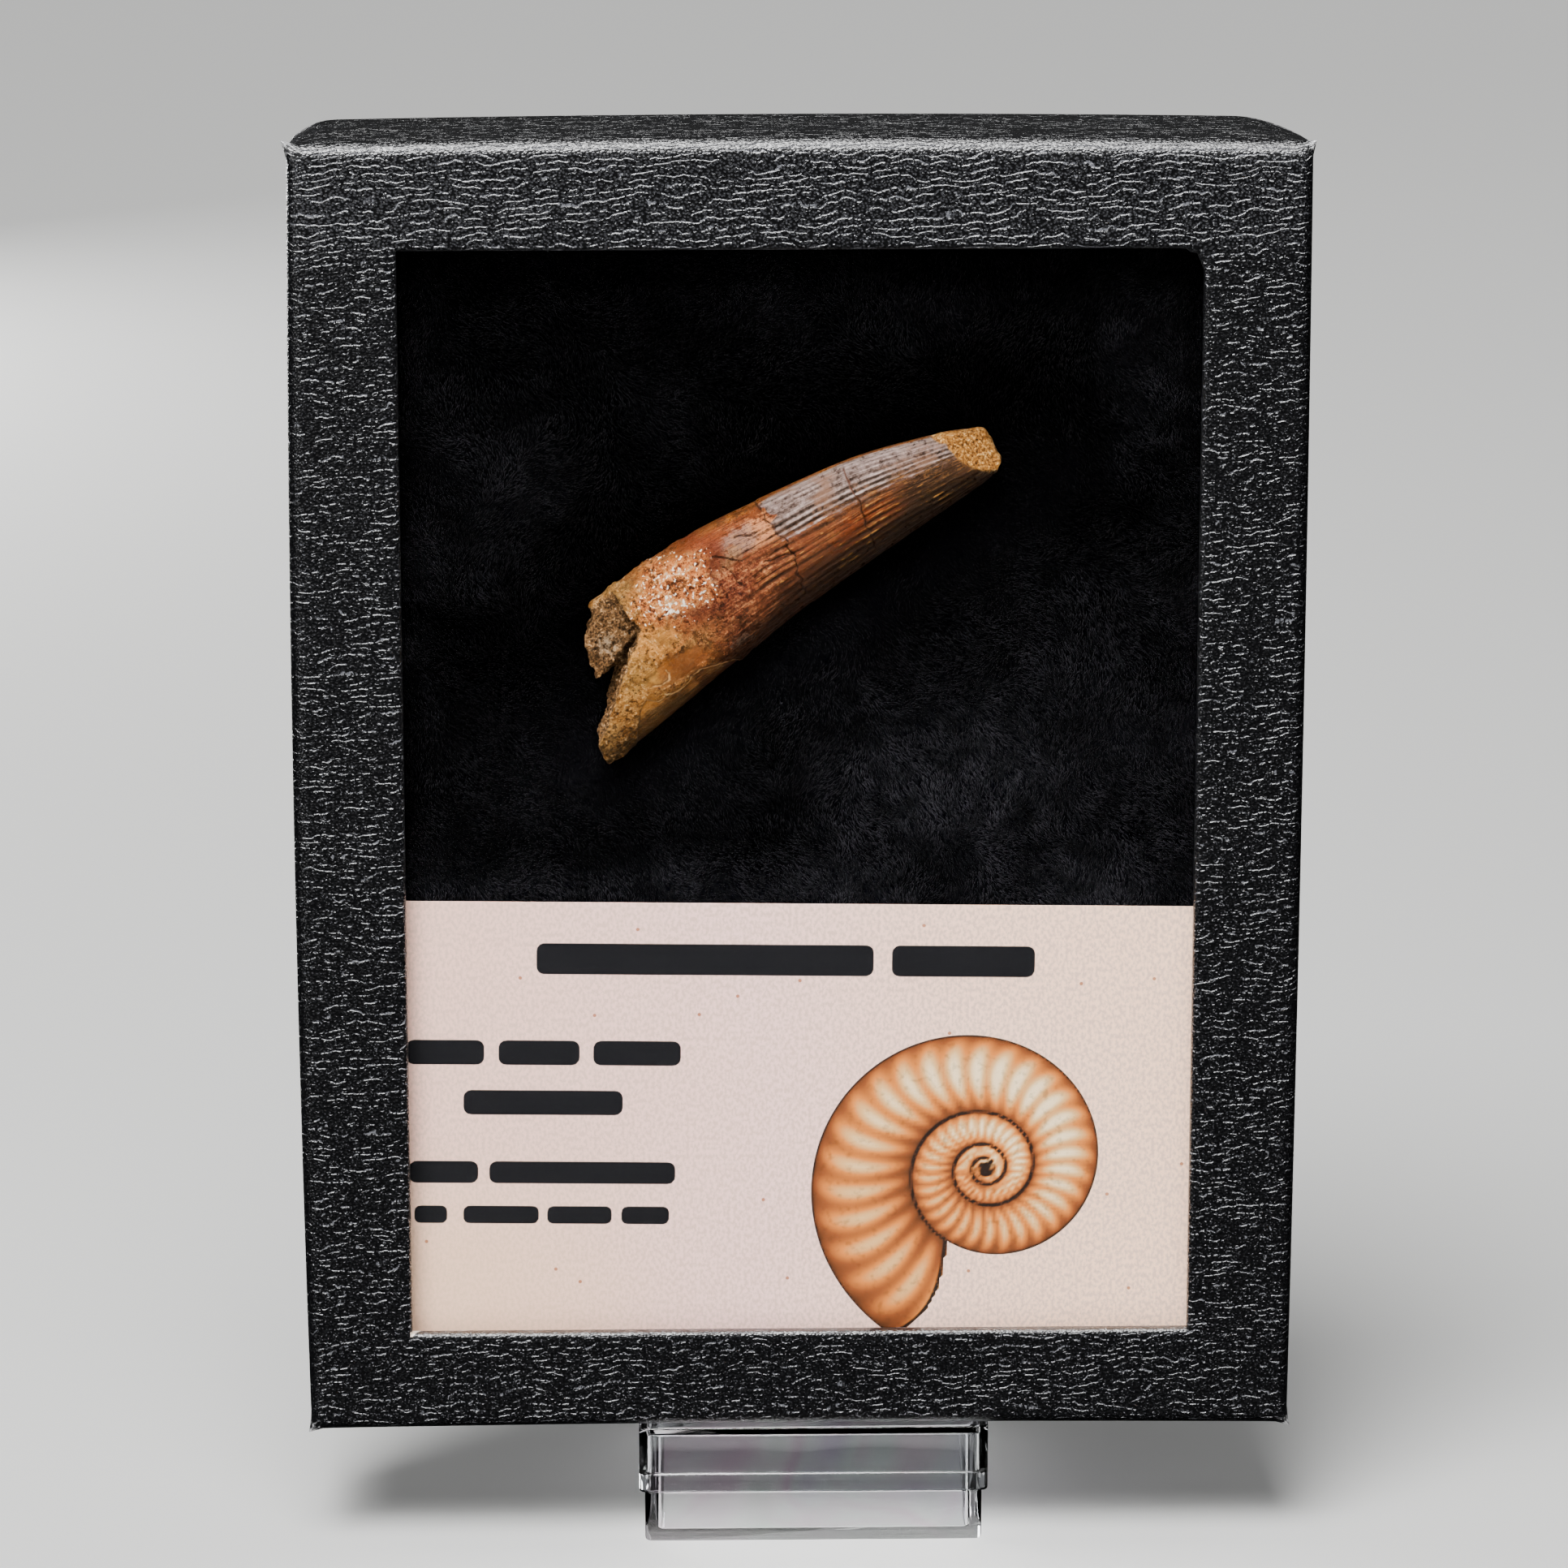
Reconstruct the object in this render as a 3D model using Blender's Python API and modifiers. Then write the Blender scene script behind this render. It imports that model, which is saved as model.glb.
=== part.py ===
"""A fossil tooth in a window display case that stands on a clear riser box.

Units are metres. +Z is up, and the window faces -Y. The origin is on the
floor, under the middle of the object. Places inside the case are given as
(x, height above the case's foot) and a depth behind the case's front face.
"""

import math

import bmesh
import bpy
from mathutils import Matrix, Vector

MM = 0.001
GAP = 0.3 * MM  # between pieces that touch

# Riser: a clear moulded box with a lid
RISER_X = 2.4 * MM
RISER_SIDE = 54.6 * MM
RISER_HEIGHT = 19.2 * MM
RISER_CORNER = 1.2 * MM
RISER_LID_FOOT = 8.5 * MM
RISER_LID_ROOF = 1.4 * MM
RISER_LID_WALL = 1.3 * MM
RISER_RIM_WALL = 0.75 * MM
RISER_RIM_HEIGHT = 2.9 * MM
TRAY_FOOT_SIDE = 52.8 * MM
TRAY_FOOT_HEIGHT = RISER_LID_FOOT - GAP
TRAY_NECK_SIDE = 51.2 * MM
TRAY_INSIDE = 48.8 * MM
TRAY_FLOOR = 1.6 * MM

# Case, a nominal 6 by 8 inches and 7/8 inch deep
CASE_WIDTH = 152.4 * MM
CASE_HEIGHT = 203.2 * MM
CASE_DEPTH = 22.2 * MM
CASE_FRONT_Y = -RISER_SIDE / 2
CASE_SHIFT_X = 0.25 * MM  # evens out the unequal bows of the two sides
CASE_FOOT_ARCH = 0.5 * MM
CASE_FOOT_Z = RISER_HEIGHT + 0.4 * MM - CASE_FOOT_ARCH
BOW_LEFT = 0.9 * MM
BOW_RIGHT = 0.4 * MM
BOW_TOP = 0.75 * MM
BOW_STEPS = 8
BORDER = 16.0 * MM
BOARD = 1.8 * MM
LID_DEPTH = 21.2 * MM
LID_FRONT_ROUND = 1.2 * MM
LID_INSIDE_WIDTH = CASE_WIDTH - 2 * BOARD
LID_INSIDE_HEIGHT = CASE_HEIGHT - 2 * BOARD
GLASS_FRONT = BOARD + GAP
GLASS_BACK = GLASS_FRONT + 1.8 * MM
BASE_SLACK = 0.6 * MM
BASE_WIDTH = LID_INSIDE_WIDTH - 2 * BASE_SLACK
BASE_HEIGHT = LID_INSIDE_HEIGHT - 2 * BASE_SLACK
BASE_FRONT = GLASS_BACK + GAP
BASE_BACK_BOARD = 1.6 * MM
FILL_WIDTH = BASE_WIDTH - 2 * BOARD - 2 * GAP
FILL_HEIGHT = BASE_HEIGHT - 2 * BOARD - 2 * GAP
FILL_BACK = CASE_DEPTH - BASE_BACK_BOARD - GAP

# Card, a nominal 5 by 3 inches, pinned between the cloth and the glass
CARD_WIDTH = 127.0 * MM
CARD_HEIGHT = 76.2 * MM
CARD_THICKNESS = 0.4 * MM
CARD_X = -2.2 * MM
CARD_TOP = 84.4 * MM
CARD_TURN = math.radians(0.75)

# Cloth over the filling
CLOTH_THICKNESS = 0.9 * MM
CLOTH_REST = 6.0 * MM
CLOTH_UNDER_CARD = GLASS_BACK + 3 * GAP + CARD_THICKNESS
CLOTH_CELL = 5.5 * MM
CLOTH_CLEARANCE = 1.1 * MM
CLOTH_DIP_HALF_WIDTH = 9.0 * MM  # the dip is never narrower, however thin the tooth

# Tooth, in its own axes: +X from root to tip, +Z across, +Y away from the window
TOOTH_START = (-30.96 * MM, 113.1 * MM)
TOOTH_TURN = math.radians(33.42)
TOOTH_FRONT = GLASS_BACK + 0.4 * MM
TOOTH_TIP_DROP = 1.2 * MM
TOOTH_SECTIONS = 40
TOOTH_SIDES = 34
TOOTH_ROUNDNESS = 2.2
# Along the tooth, its lower edge, its upper edge and its thickness, in mm
TOOTH_STATIONS = (
    (-6, -7.9, 13.3, 11.8),
    (8, -6.9, 14.9, 12.9),
    (20, -5.4, 15.6, 13.2),
    (32, -3.95, 15.15, 12.8),
    (44, -3.1, 13.65, 11.6),
    (56, -2.55, 11.6, 10.0),
    (68, -2.0, 7.9, 7.9),
    (77, -1.7, 4.9, 6.2),
)
ROOT_EDGE = -3.0 * MM
TIP_EDGE = 73.4 * MM
# Broken outline of the root: lower lobe, notch, upper lobe, in mm
ROOT_OUTLINE = (
    (-2.2, -18), (-2.65, -7.1), (-2.1, -3.6), (7.0, 4.0), (3.05, 4.8),
    (4.7, 10.1), (8.4, 13.6), (10.5, 18), (-14, 18), (-14, -18),
)
# Front of the upper lobe, broken back to the middle of the tooth, in mm
ROOT_BREAK = ((-2.1, -3.6), (13.8, 8.5), (13.0, 18), (-14, 18), (-14, -12.6))
ROOT_BREAK_DEPTH = 9.6 * MM
HOLLOW_LENGTH = 21.0 * MM
HOLLOW_RADIUS = 3.4 * MM


def clear_scene():
    for thing in list(bpy.data.objects):
        bpy.data.objects.remove(thing, do_unlink=True)


def collection(name):
    group = bpy.data.collections.new(name)
    bpy.context.scene.collection.children.link(group)
    return group


def hex_to_linear(code):
    parts = [int(code[i : i + 2], 16) / 255 for i in (1, 3, 5)]
    return [c / 12.92 if c <= 0.04045 else ((c + 0.055) / 1.055) ** 2.4 for c in parts] + [1.0]


def material(name, colour, roughness, transmission=0.0, ior=1.5):
    made = bpy.data.materials.new(name)
    made.use_nodes = True
    shader = made.node_tree.nodes["Principled BSDF"]
    shader.inputs["Base Color"].default_value = hex_to_linear(colour)
    shader.inputs["Roughness"].default_value = roughness
    shader.inputs["Transmission Weight"].default_value = transmission
    shader.inputs["IOR"].default_value = ior
    shader.inputs["Metallic"].default_value = 0.0
    return made


def in_case(x, height, depth):
    """A point of the case in the object's frame."""
    return Vector((CASE_SHIFT_X + x, CASE_FRONT_Y + depth, CASE_FOOT_Z + height))


def add_object(name, mesh, group, finish=None):
    made = bpy.data.objects.new(name, mesh)
    group.objects.link(made)
    if finish:
        mesh.materials.append(finish)
    return made


def block(name, size, centre, group, finish=None):
    """A box with its scale applied and its place in its location."""
    bpy.ops.mesh.primitive_cube_add(size=1, location=centre)
    made = bpy.context.active_object
    for old in list(made.users_collection):
        old.objects.unlink(made)
    group.objects.link(made)
    made.name = made.data.name = name
    made.data.transform(Matrix.Diagonal((*size, 1)))
    if finish:
        made.data.materials.append(finish)
    return made


def as_cutter(thing):
    thing.hide_render = True
    thing.display_type = "WIRE"
    return thing


def cut(thing, cutter, operation="DIFFERENCE"):
    change = thing.modifiers.new(f"{operation.lower()} {cutter.name}", "BOOLEAN")
    change.object = cutter
    change.operation = operation
    change.solver = "EXACT"


def round_edges(thing, width, segments=2):
    bevel = thing.modifiers.new("rounded edges", "BEVEL")
    bevel.width = width
    bevel.segments = segments
    bevel.limit_method = "ANGLE"
    bevel.angle_limit = math.radians(40)


def round_upright_edges(thing, width, segments=3):
    """Rounds a box's four upright corners in its mesh."""
    shape = bmesh.new()
    shape.from_mesh(thing.data)
    upright = [e for e in shape.edges if abs(e.verts[0].co.z - e.verts[1].co.z) > width]
    bmesh.ops.bevel(
        shape, geom=upright, offset=width, segments=segments, profile=0.5, affect="EDGES", material=-1
    )
    shape.to_mesh(thing.data)
    shape.free()


def prism(name, outline, near, far, group):
    """A flat outline in X and Z as a solid between two depths along Y."""
    curve = bpy.data.curves.new(name, "CURVE")
    curve.dimensions = "2D"
    curve.fill_mode = "BOTH"
    curve.extrude = (far - near) / 2
    line = curve.splines.new("POLY")
    line.points.add(len(outline) - 1)
    line.use_cyclic_u = True
    for point, (x, z) in zip(line.points, outline):
        point.co = (x, z, 0, 1)
    flat = add_object(f"{name} outline", curve, group)
    bpy.context.view_layer.update()
    mesh = bpy.data.meshes.new_from_object(flat.evaluated_get(bpy.context.evaluated_depsgraph_get()))
    bpy.data.objects.remove(flat, do_unlink=True)
    mesh.transform(Matrix.Rotation(math.pi / 2, 4, "X"))
    mesh.transform(Matrix.Translation((0, (near + far) / 2, 0)))
    shape = bmesh.new()
    shape.from_mesh(mesh)
    bmesh.ops.remove_doubles(shape, verts=shape.verts[:], dist=0.001 * MM)
    bmesh.ops.recalc_face_normals(shape, faces=shape.faces[:])
    shape.to_mesh(mesh)
    shape.free()
    mesh.name = name
    return add_object(name, mesh, group)


def bowed_outline():
    """The case's outline: both sides and the top bow out, and the foot arches up."""
    half, top = CASE_WIDTH / 2, CASE_HEIGHT
    sides = (
        ((-half, 0), (half, 0), (0, CASE_FOOT_ARCH)),
        ((half, 0), (half, top), (BOW_RIGHT, 0)),
        ((half, top), (-half, top), (0, BOW_TOP)),
        ((-half, top), (-half, 0), (-BOW_LEFT, 0)),
    )
    points = []
    for (x0, z0), (x1, z1), (bow_x, bow_z) in sides:
        for step in range(BOW_STEPS):
            t = step / BOW_STEPS
            bow = 1 - (2 * t - 1) ** 2
            points.append((x0 + (x1 - x0) * t + bow_x * bow, z0 + (z1 - z0) * t + bow_z * bow))
    return points


def build_lid_frame(parts, cutters):
    """Paper-covered cardboard lid with a window, open at the back."""
    lid = prism("lid_frame", bowed_outline(), 0, LID_DEPTH, parts)
    shape = bmesh.new()
    shape.from_mesh(lid.data)
    front = [e for e in shape.edges if all(abs(v.co.y) < 0.01 * MM for v in e.verts)]
    rim = [e for e in front if any(abs(f.normal.y) < 0.5 for f in e.link_faces)]
    bmesh.ops.bevel(
        shape, geom=rim, offset=LID_FRONT_ROUND, segments=3, profile=0.5, affect="EDGES", material=-1
    )
    shape.to_mesh(lid.data)
    shape.free()
    lid.location = in_case(0, 0, 0)
    lid.data.materials.append(material("grained black paper", "#2B2B2E", 0.42))
    inside = block(
        "lid inside",
        (LID_INSIDE_WIDTH, LID_DEPTH, LID_INSIDE_HEIGHT),
        in_case(0, CASE_HEIGHT / 2, BOARD + LID_DEPTH / 2),
        cutters,
    )
    window = block(
        "lid window",
        (CASE_WIDTH - 2 * BORDER, 4 * BOARD, CASE_HEIGHT - 2 * BORDER),
        in_case(0, CASE_HEIGHT / 2, 0),
        cutters,
    )
    cut(lid, as_cutter(inside))
    cut(lid, as_cutter(window))


def build_glass(parts):
    pane = block(
        "glass_pane",
        (BASE_WIDTH, GLASS_BACK - GLASS_FRONT, BASE_HEIGHT),
        in_case(0, CASE_HEIGHT / 2, (GLASS_FRONT + GLASS_BACK) / 2),
        parts,
        material("float glass", "#F4F8F6", 0.02, transmission=1.0, ior=1.52),
    )
    round_edges(pane, 0.2 * MM, 1)


def build_base_tray(parts, cutters):
    """Cardboard tray inside the lid, its back a little proud of the lid's walls."""
    tray = block(
        "base_tray",
        (BASE_WIDTH, CASE_DEPTH - BASE_FRONT, BASE_HEIGHT),
        in_case(0, CASE_HEIGHT / 2, (CASE_DEPTH + BASE_FRONT) / 2),
        parts,
        material("black paper on board", "#1C1C1E", 0.6),
    )
    inside = block(
        "tray inside",
        (BASE_WIDTH - 2 * BOARD, CASE_DEPTH, BASE_HEIGHT - 2 * BOARD),
        in_case(0, CASE_HEIGHT / 2, CASE_DEPTH / 2 - BASE_BACK_BOARD),
        cutters,
    )
    cut(tray, as_cutter(inside))


def along_stations(along):
    """The tooth's lower edge, upper edge and thickness at a distance along it, on a smooth curve."""
    rows = TOOTH_STATIONS
    at = min(max(along / MM, rows[0][0]), rows[-1][0])
    k = max(i for i in range(len(rows) - 1) if rows[i][0] <= at)
    before, here = rows[max(k - 1, 0)], rows[k]
    after, beyond = rows[k + 1], rows[min(k + 2, len(rows) - 1)]
    span = after[0] - here[0]
    t = (at - here[0]) / span
    values = []
    for column in (1, 2, 3):
        slope_in = (after[column] - before[column]) / (after[0] - before[0]) * span
        slope_out = (beyond[column] - here[column]) / (beyond[0] - here[0]) * span
        values.append(
            MM
            * (
                (2 * t**3 - 3 * t**2 + 1) * here[column]
                + (t**3 - 2 * t**2 + t) * slope_in
                + (3 * t**2 - 2 * t**3) * after[column]
                + (t**3 - t**2) * slope_out
            )
        )
    return values


def tooth_section(along):
    """Centre across, centre depth, half width and half thickness of the tooth."""
    low, high, thick = along_stations(along)
    lean = TOOTH_TIP_DROP * max(along / TIP_EDGE, 0) ** 2
    return (low + high) / 2, TOOTH_FRONT + lean + thick / 2, (high - low) / 2, thick / 2


def tooth_axes():
    place = Matrix.Translation(in_case(TOOTH_START[0], TOOTH_START[1], 0))
    return place @ Matrix.Rotation(-TOOTH_TURN, 4, "Y")


def build_tooth(parts, cutters):
    """One curved, flattened cone with its tip broken off and its root broken open."""
    shape = bmesh.new()
    first, last = TOOTH_STATIONS[0][0] * MM, TOOTH_STATIONS[-1][0] * MM
    rings = []
    for i in range(TOOTH_SECTIONS):
        along = first + (last - first) * i / (TOOTH_SECTIONS - 1)
        across, depth, half_width, half_thick = tooth_section(along)
        ring = []
        for j in range(TOOTH_SIDES):
            angle = 2 * math.pi * j / TOOTH_SIDES
            c, s = math.cos(angle), math.sin(angle)
            reach = (abs(c) ** TOOTH_ROUNDNESS + abs(s) ** TOOTH_ROUNDNESS) ** (-1 / TOOTH_ROUNDNESS)
            ring.append(
                shape.verts.new((along, depth - s * reach * half_thick, across + c * reach * half_width))
            )
        rings.append(ring)
    for near, far in zip(rings, rings[1:]):
        for j in range(TOOTH_SIDES):
            k = (j + 1) % TOOTH_SIDES
            shape.faces.new((near[j], near[k], far[k], far[j]))
    shape.faces.new(reversed(rings[0]))
    shape.faces.new(rings[-1])
    tip_low, tip_high, _ = along_stations(TIP_EDGE)
    tip_middle = (tip_low + tip_high) / 2
    breaks = (
        (Vector((TIP_EDGE, 0, 0)), Vector((1, 0, -0.05))),
        (Vector((70.6 * MM, TOOTH_FRONT + 2.6 * MM, tip_middle)), Vector((0.62, -0.78, 0.25))),
        (Vector((70.3 * MM, 0, 6.6 * MM)), Vector((0.5, 0, 0.86))),
        (Vector((70.4 * MM, 0, -1.6 * MM)), Vector((0.25, 0, -0.97))),
    )
    for point, normal in breaks:
        bmesh.ops.recalc_face_normals(shape, faces=shape.faces[:])
        split = bmesh.ops.bisect_plane(
            shape,
            geom=shape.verts[:] + shape.edges[:] + shape.faces[:],
            dist=0.001 * MM,
            plane_co=point,
            plane_no=normal,
            clear_outer=True,
        )
        open_edges = [e for e in split["geom_cut"] if isinstance(e, bmesh.types.BMEdge) and e.is_boundary]
        bmesh.ops.holes_fill(shape, edges=open_edges, sides=0)
    bmesh.ops.remove_doubles(shape, verts=shape.verts[:], dist=0.02 * MM)
    bmesh.ops.recalc_face_normals(shape, faces=shape.faces[:])
    mesh = bpy.data.meshes.new("spinosaurus_tooth")
    shape.to_mesh(mesh)
    shape.free()
    finish = material("fossil enamel and dentine", "#7A4A26", 0.45)
    tooth = add_object("spinosaurus_tooth", mesh, parts, finish)
    tooth.matrix_world = tooth_axes()

    outline = prism("root outline", [(x * MM, z * MM) for x, z in ROOT_OUTLINE], -5 * MM, 30 * MM, cutters)
    outline.matrix_world = tooth_axes()
    front_break = [(x * MM, z * MM) for x, z in ROOT_BREAK]
    broken = prism("root break", front_break, -5 * MM, ROOT_BREAK_DEPTH, cutters)
    broken.matrix_world = tooth_axes()
    bpy.ops.mesh.primitive_cone_add(
        vertices=16, radius1=HOLLOW_RADIUS, radius2=0.8 * MM, depth=HOLLOW_LENGTH, end_fill_type="NGON"
    )
    hollow = bpy.context.active_object
    for old in list(hollow.users_collection):
        old.objects.unlink(hollow)
    cutters.objects.link(hollow)
    hollow.name = "pulp hollow"
    aim = Vector((0.86, 0.03, 0.5)).to_track_quat("Z", "Y").to_matrix().to_4x4()
    hollow.matrix_world = tooth_axes() @ Matrix.Translation((6.2 * MM, 10.6 * MM, 3.4 * MM)) @ aim
    for cutter in (outline, broken, hollow):
        cut(tooth, as_cutter(cutter))


def cloth_depth(x, height):
    """How far behind the case's front the cloth lies: it sinks round the tooth and rests on the card."""
    dx, dz = x - TOOTH_START[0], height - TOOTH_START[1]
    along = dx * math.cos(TOOTH_TURN) + dz * math.sin(TOOTH_TURN)
    across = dz * math.cos(TOOTH_TURN) - dx * math.sin(TOOTH_TURN)
    middle, depth, half_width, half_thick = tooth_section(along)
    past = max(ROOT_EDGE - along, along - TIP_EDGE, 0)
    offset = math.hypot(across - middle, past) / max(half_width, CLOTH_DIP_HALF_WIDTH)
    sink = 1 / (1 + (offset / 1.25) ** 4)
    folds = 0.5 * MM * math.sin(height / (11 * MM) + 2 * math.sin(x / (24 * MM)))
    rest = CLOTH_REST + folds
    deepest = depth + half_thick + CLOTH_CLEARANCE
    over_card = min(max((height - CARD_TOP) / (8 * MM), 0), 1)
    return (1 - over_card) * CLOTH_UNDER_CARD + over_card * (rest + (deepest - rest) * sink)


def cloth_grid():
    """A grid in X and Z over the filling, at the depth of the cloth's front."""
    shape = bmesh.new()
    columns, rows = round(FILL_WIDTH / CLOTH_CELL), round(FILL_HEIGHT / CLOTH_CELL)
    bmesh.ops.create_grid(shape, x_segments=columns, y_segments=rows, size=0.5)
    for v in shape.verts:
        x, height = v.co.x * FILL_WIDTH, CASE_HEIGHT / 2 + v.co.y * FILL_HEIGHT
        v.co = (x, cloth_depth(x, height), height)
    return shape


def build_velvet(parts):
    """One thickness of cloth, measured straight back, so that it nests on the filling."""
    shape = cloth_grid()
    back = bmesh.ops.duplicate(shape, geom=shape.verts[:] + shape.edges[:] + shape.faces[:])["geom"]
    for v in back:
        if isinstance(v, bmesh.types.BMVert):
            v.co.y += CLOTH_THICKNESS
    bmesh.ops.bridge_loops(shape, edges=[e for e in shape.edges if e.is_boundary])
    finish_soft_piece(shape, "velvet_lining", parts, material("black plush", "#0C0C0D", 0.95))


def build_wadding(parts):
    """Soft filling between the cloth and the tray's back."""
    shape = cloth_grid()
    for v in shape.verts:
        v.co.y += CLOTH_THICKNESS + GAP
    walls = bmesh.ops.extrude_edge_only(shape, edges=[e for e in shape.edges if e.is_boundary])
    for v in walls["geom"]:
        if isinstance(v, bmesh.types.BMVert):
            v.co.y = FILL_BACK
    bmesh.ops.holes_fill(shape, edges=[e for e in shape.edges if e.is_boundary], sides=0)
    finish_soft_piece(shape, "fibre_wadding", parts, material("polyester fibre", "#E8E8E4", 0.9))


def finish_soft_piece(shape, name, parts, finish):
    bmesh.ops.recalc_face_normals(shape, faces=shape.faces[:])
    mesh = bpy.data.meshes.new(name)
    shape.to_mesh(mesh)
    shape.free()
    add_object(name, mesh, parts, finish).location = in_case(0, 0, 0)


def build_card(parts):
    card = block(
        "label_card",
        (CARD_WIDTH, CARD_THICKNESS, CARD_HEIGHT),
        in_case(CARD_X, CARD_TOP - CARD_HEIGHT / 2, GLASS_BACK + GAP + CARD_THICKNESS / 2),
        parts,
        material("printed card", "#DCCBBF", 0.55),
    )
    card.rotation_euler = (0, CARD_TURN, 0)


def build_riser(parts, cutters):
    """Clear tray with a neck that its lid slides over."""
    clear = material("clear moulded polystyrene", "#F2F5F7", 0.04, transmission=1.0, ior=1.58)
    neck_top = RISER_HEIGHT - RISER_LID_ROOF - GAP
    tray = riser_block("riser_tray", TRAY_FOOT_SIDE, 0, TRAY_FOOT_HEIGHT, parts, clear)
    neck = riser_block("tray neck", TRAY_NECK_SIDE, TRAY_FLOOR, neck_top, cutters)
    inside = riser_block("tray hollow", TRAY_INSIDE, TRAY_FLOOR, RISER_HEIGHT, cutters)
    cut(tray, as_cutter(neck), "UNION")
    cut(tray, as_cutter(inside))
    lid = riser_block("riser_lid", RISER_SIDE, RISER_LID_FOOT, RISER_HEIGHT, parts, clear)
    roof = RISER_HEIGHT - RISER_LID_ROOF
    upper = riser_block("lid hollow", RISER_SIDE - 2 * RISER_LID_WALL, 0, roof, cutters)
    rim_top = RISER_LID_FOOT + RISER_RIM_HEIGHT
    lower = riser_block("rim hollow", RISER_SIDE - 2 * RISER_RIM_WALL, 0, rim_top, cutters)
    cut(lid, as_cutter(upper))
    cut(lid, as_cutter(lower))


def riser_block(name, side, foot, top, group, finish=None):
    made = block(name, (side, side, top - foot), (RISER_X, 0, (foot + top) / 2), group, finish)
    round_upright_edges(made, RISER_CORNER)
    return made


def main():
    clear_scene()
    parts = collection("fossil_tooth_case")
    cutters = collection("cutters")
    build_lid_frame(parts, cutters)
    build_glass(parts)
    build_base_tray(parts, cutters)
    build_card(parts)
    build_tooth(parts, cutters)
    build_velvet(parts)
    build_wadding(parts)
    build_riser(parts, cutters)


main()
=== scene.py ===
"""Looks of a fossil tooth in a window display case on a clear riser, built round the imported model."""

import math
from functools import partial, reduce

import bmesh
import bpy
import numpy as np
from mathutils import Matrix, Vector, noise


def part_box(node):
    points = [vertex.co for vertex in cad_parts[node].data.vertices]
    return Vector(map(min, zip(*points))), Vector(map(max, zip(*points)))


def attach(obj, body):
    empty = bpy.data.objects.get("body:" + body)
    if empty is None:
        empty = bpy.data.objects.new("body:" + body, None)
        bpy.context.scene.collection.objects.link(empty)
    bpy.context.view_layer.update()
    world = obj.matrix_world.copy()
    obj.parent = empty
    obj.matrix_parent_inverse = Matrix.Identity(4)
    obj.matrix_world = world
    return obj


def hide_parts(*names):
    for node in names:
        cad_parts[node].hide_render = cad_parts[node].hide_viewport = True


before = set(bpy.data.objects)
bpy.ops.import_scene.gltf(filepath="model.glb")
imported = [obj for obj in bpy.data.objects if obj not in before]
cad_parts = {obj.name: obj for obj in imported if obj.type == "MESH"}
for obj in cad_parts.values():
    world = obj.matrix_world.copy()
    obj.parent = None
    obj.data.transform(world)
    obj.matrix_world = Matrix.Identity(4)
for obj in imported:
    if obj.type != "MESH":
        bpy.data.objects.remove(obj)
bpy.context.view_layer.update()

# Shapes are made in millimetres as (x from the case's middle, depth behind its front, height above its foot)
MM = 0.001
CASE_PLACE = Matrix.Translation((0.25 * MM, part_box("lid_frame")[0].y, 19.1 * MM)) @ Matrix.Scale(MM, 4)
RISER_PLACE = Matrix.Translation((2.4 * MM, 0, 0)) @ Matrix.Scale(MM, 4)

# The case, a nominal 6 by 8 inches
CASE_WIDTH = 152.4
CASE_HEIGHT = 203.2
CASE_DEPTH = 22.2
LID_DEPTH = 21.2
BORDER = 16.0
BOARD = 1.8
GLASS_BACK = 3.9
TRAY_FRONT = 4.2
TRAY_WIDTH = 147.6
TRAY_HEIGHT = 198.4
FILL_WIDTH = 143.4
FILL_HEIGHT = 194.2
FILL_BACK = 20.3
CLOTH_THICKNESS = 0.9
PILE_WIDTH = 0.045
BOW_LEFT = 0.9
BOW_RIGHT = 0.4
BOW_TOP = 0.75
FOOT_ARCH = 0.5

# The card, and the boxes of its print as (left, bottom, right, top) from its middle
CARD_SIZE = (127.0, 76.2)
CARD_MIDDLE = (-2.2, 46.3)
CARD_TURN = math.radians(0.75)
CARD_FRONT = 4.2
CARD_THICKNESS = 0.4
PRINTED_BARS = (
    (-38.6, 26.6, 13.2, 31.6), (16.0, 26.6, 38.0, 31.6),
    (-58.6, 11.9, -46.6, 15.9), (-44.4, 11.9, -31.9, 15.9), (-29.8, 11.9, -16.3, 15.9),
    (-49.8, 3.8, -25.2, 7.8),
    (-58.2, -7.4, -47.5, -3.8), (-45.8, -7.4, -17.0, -3.8),
    (-57.4, -14.0, -52.3, -11.1), (-49.8, -14.0, -38.1, -11.1),
    (-36.8, -14.0, -26.8, -11.1), (-25.3, -14.0, -17.9, -11.1),
)
SHELL_MIDDLE = (31.0, -4.5)
SHELL_REACH = 31.5
SHELL_GROWTH = math.log(2.35) / (2 * math.pi)
SHELL_RIBS = 30

# The tooth along its own axis: distance along, lower edge, upper edge and thickness
TOOTH_START = (-30.96, 113.1)
TOOTH_TURN = math.radians(33.42)
TOOTH_FRONT = 4.3
TOOTH_ROUNDNESS = 2.2
TIP_LEAN = 1.2
TIP_END = 73.4
TOOTH_STATIONS = (
    (-6, -7.9, 13.3, 11.8), (8, -6.9, 14.9, 12.9), (20, -5.4, 15.6, 13.2), (32, -3.95, 15.15, 12.8),
    (44, -3.1, 13.65, 11.6), (56, -2.55, 11.6, 10.0), (68, -2.0, 7.9, 7.9), (77, -1.7, 4.9, 6.2),
)
ROOT_OUTLINE = (
    (-2.2, -18), (-2.65, -7.1), (-2.1, -3.6), (7.0, 4.0), (3.05, 4.8),
    (4.7, 10.1), (8.4, 13.6), (10.5, 18), (-14, 18), (-14, -18),
)
ROOT_BREAK = ((-2.1, -3.6), (13.8, 8.5), (13.0, 18), (-14, 18), (-14, -12.6))
ROOT_BREAK_DEPTH = 9.6
RIDGE_PITCH = 1.3
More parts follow.
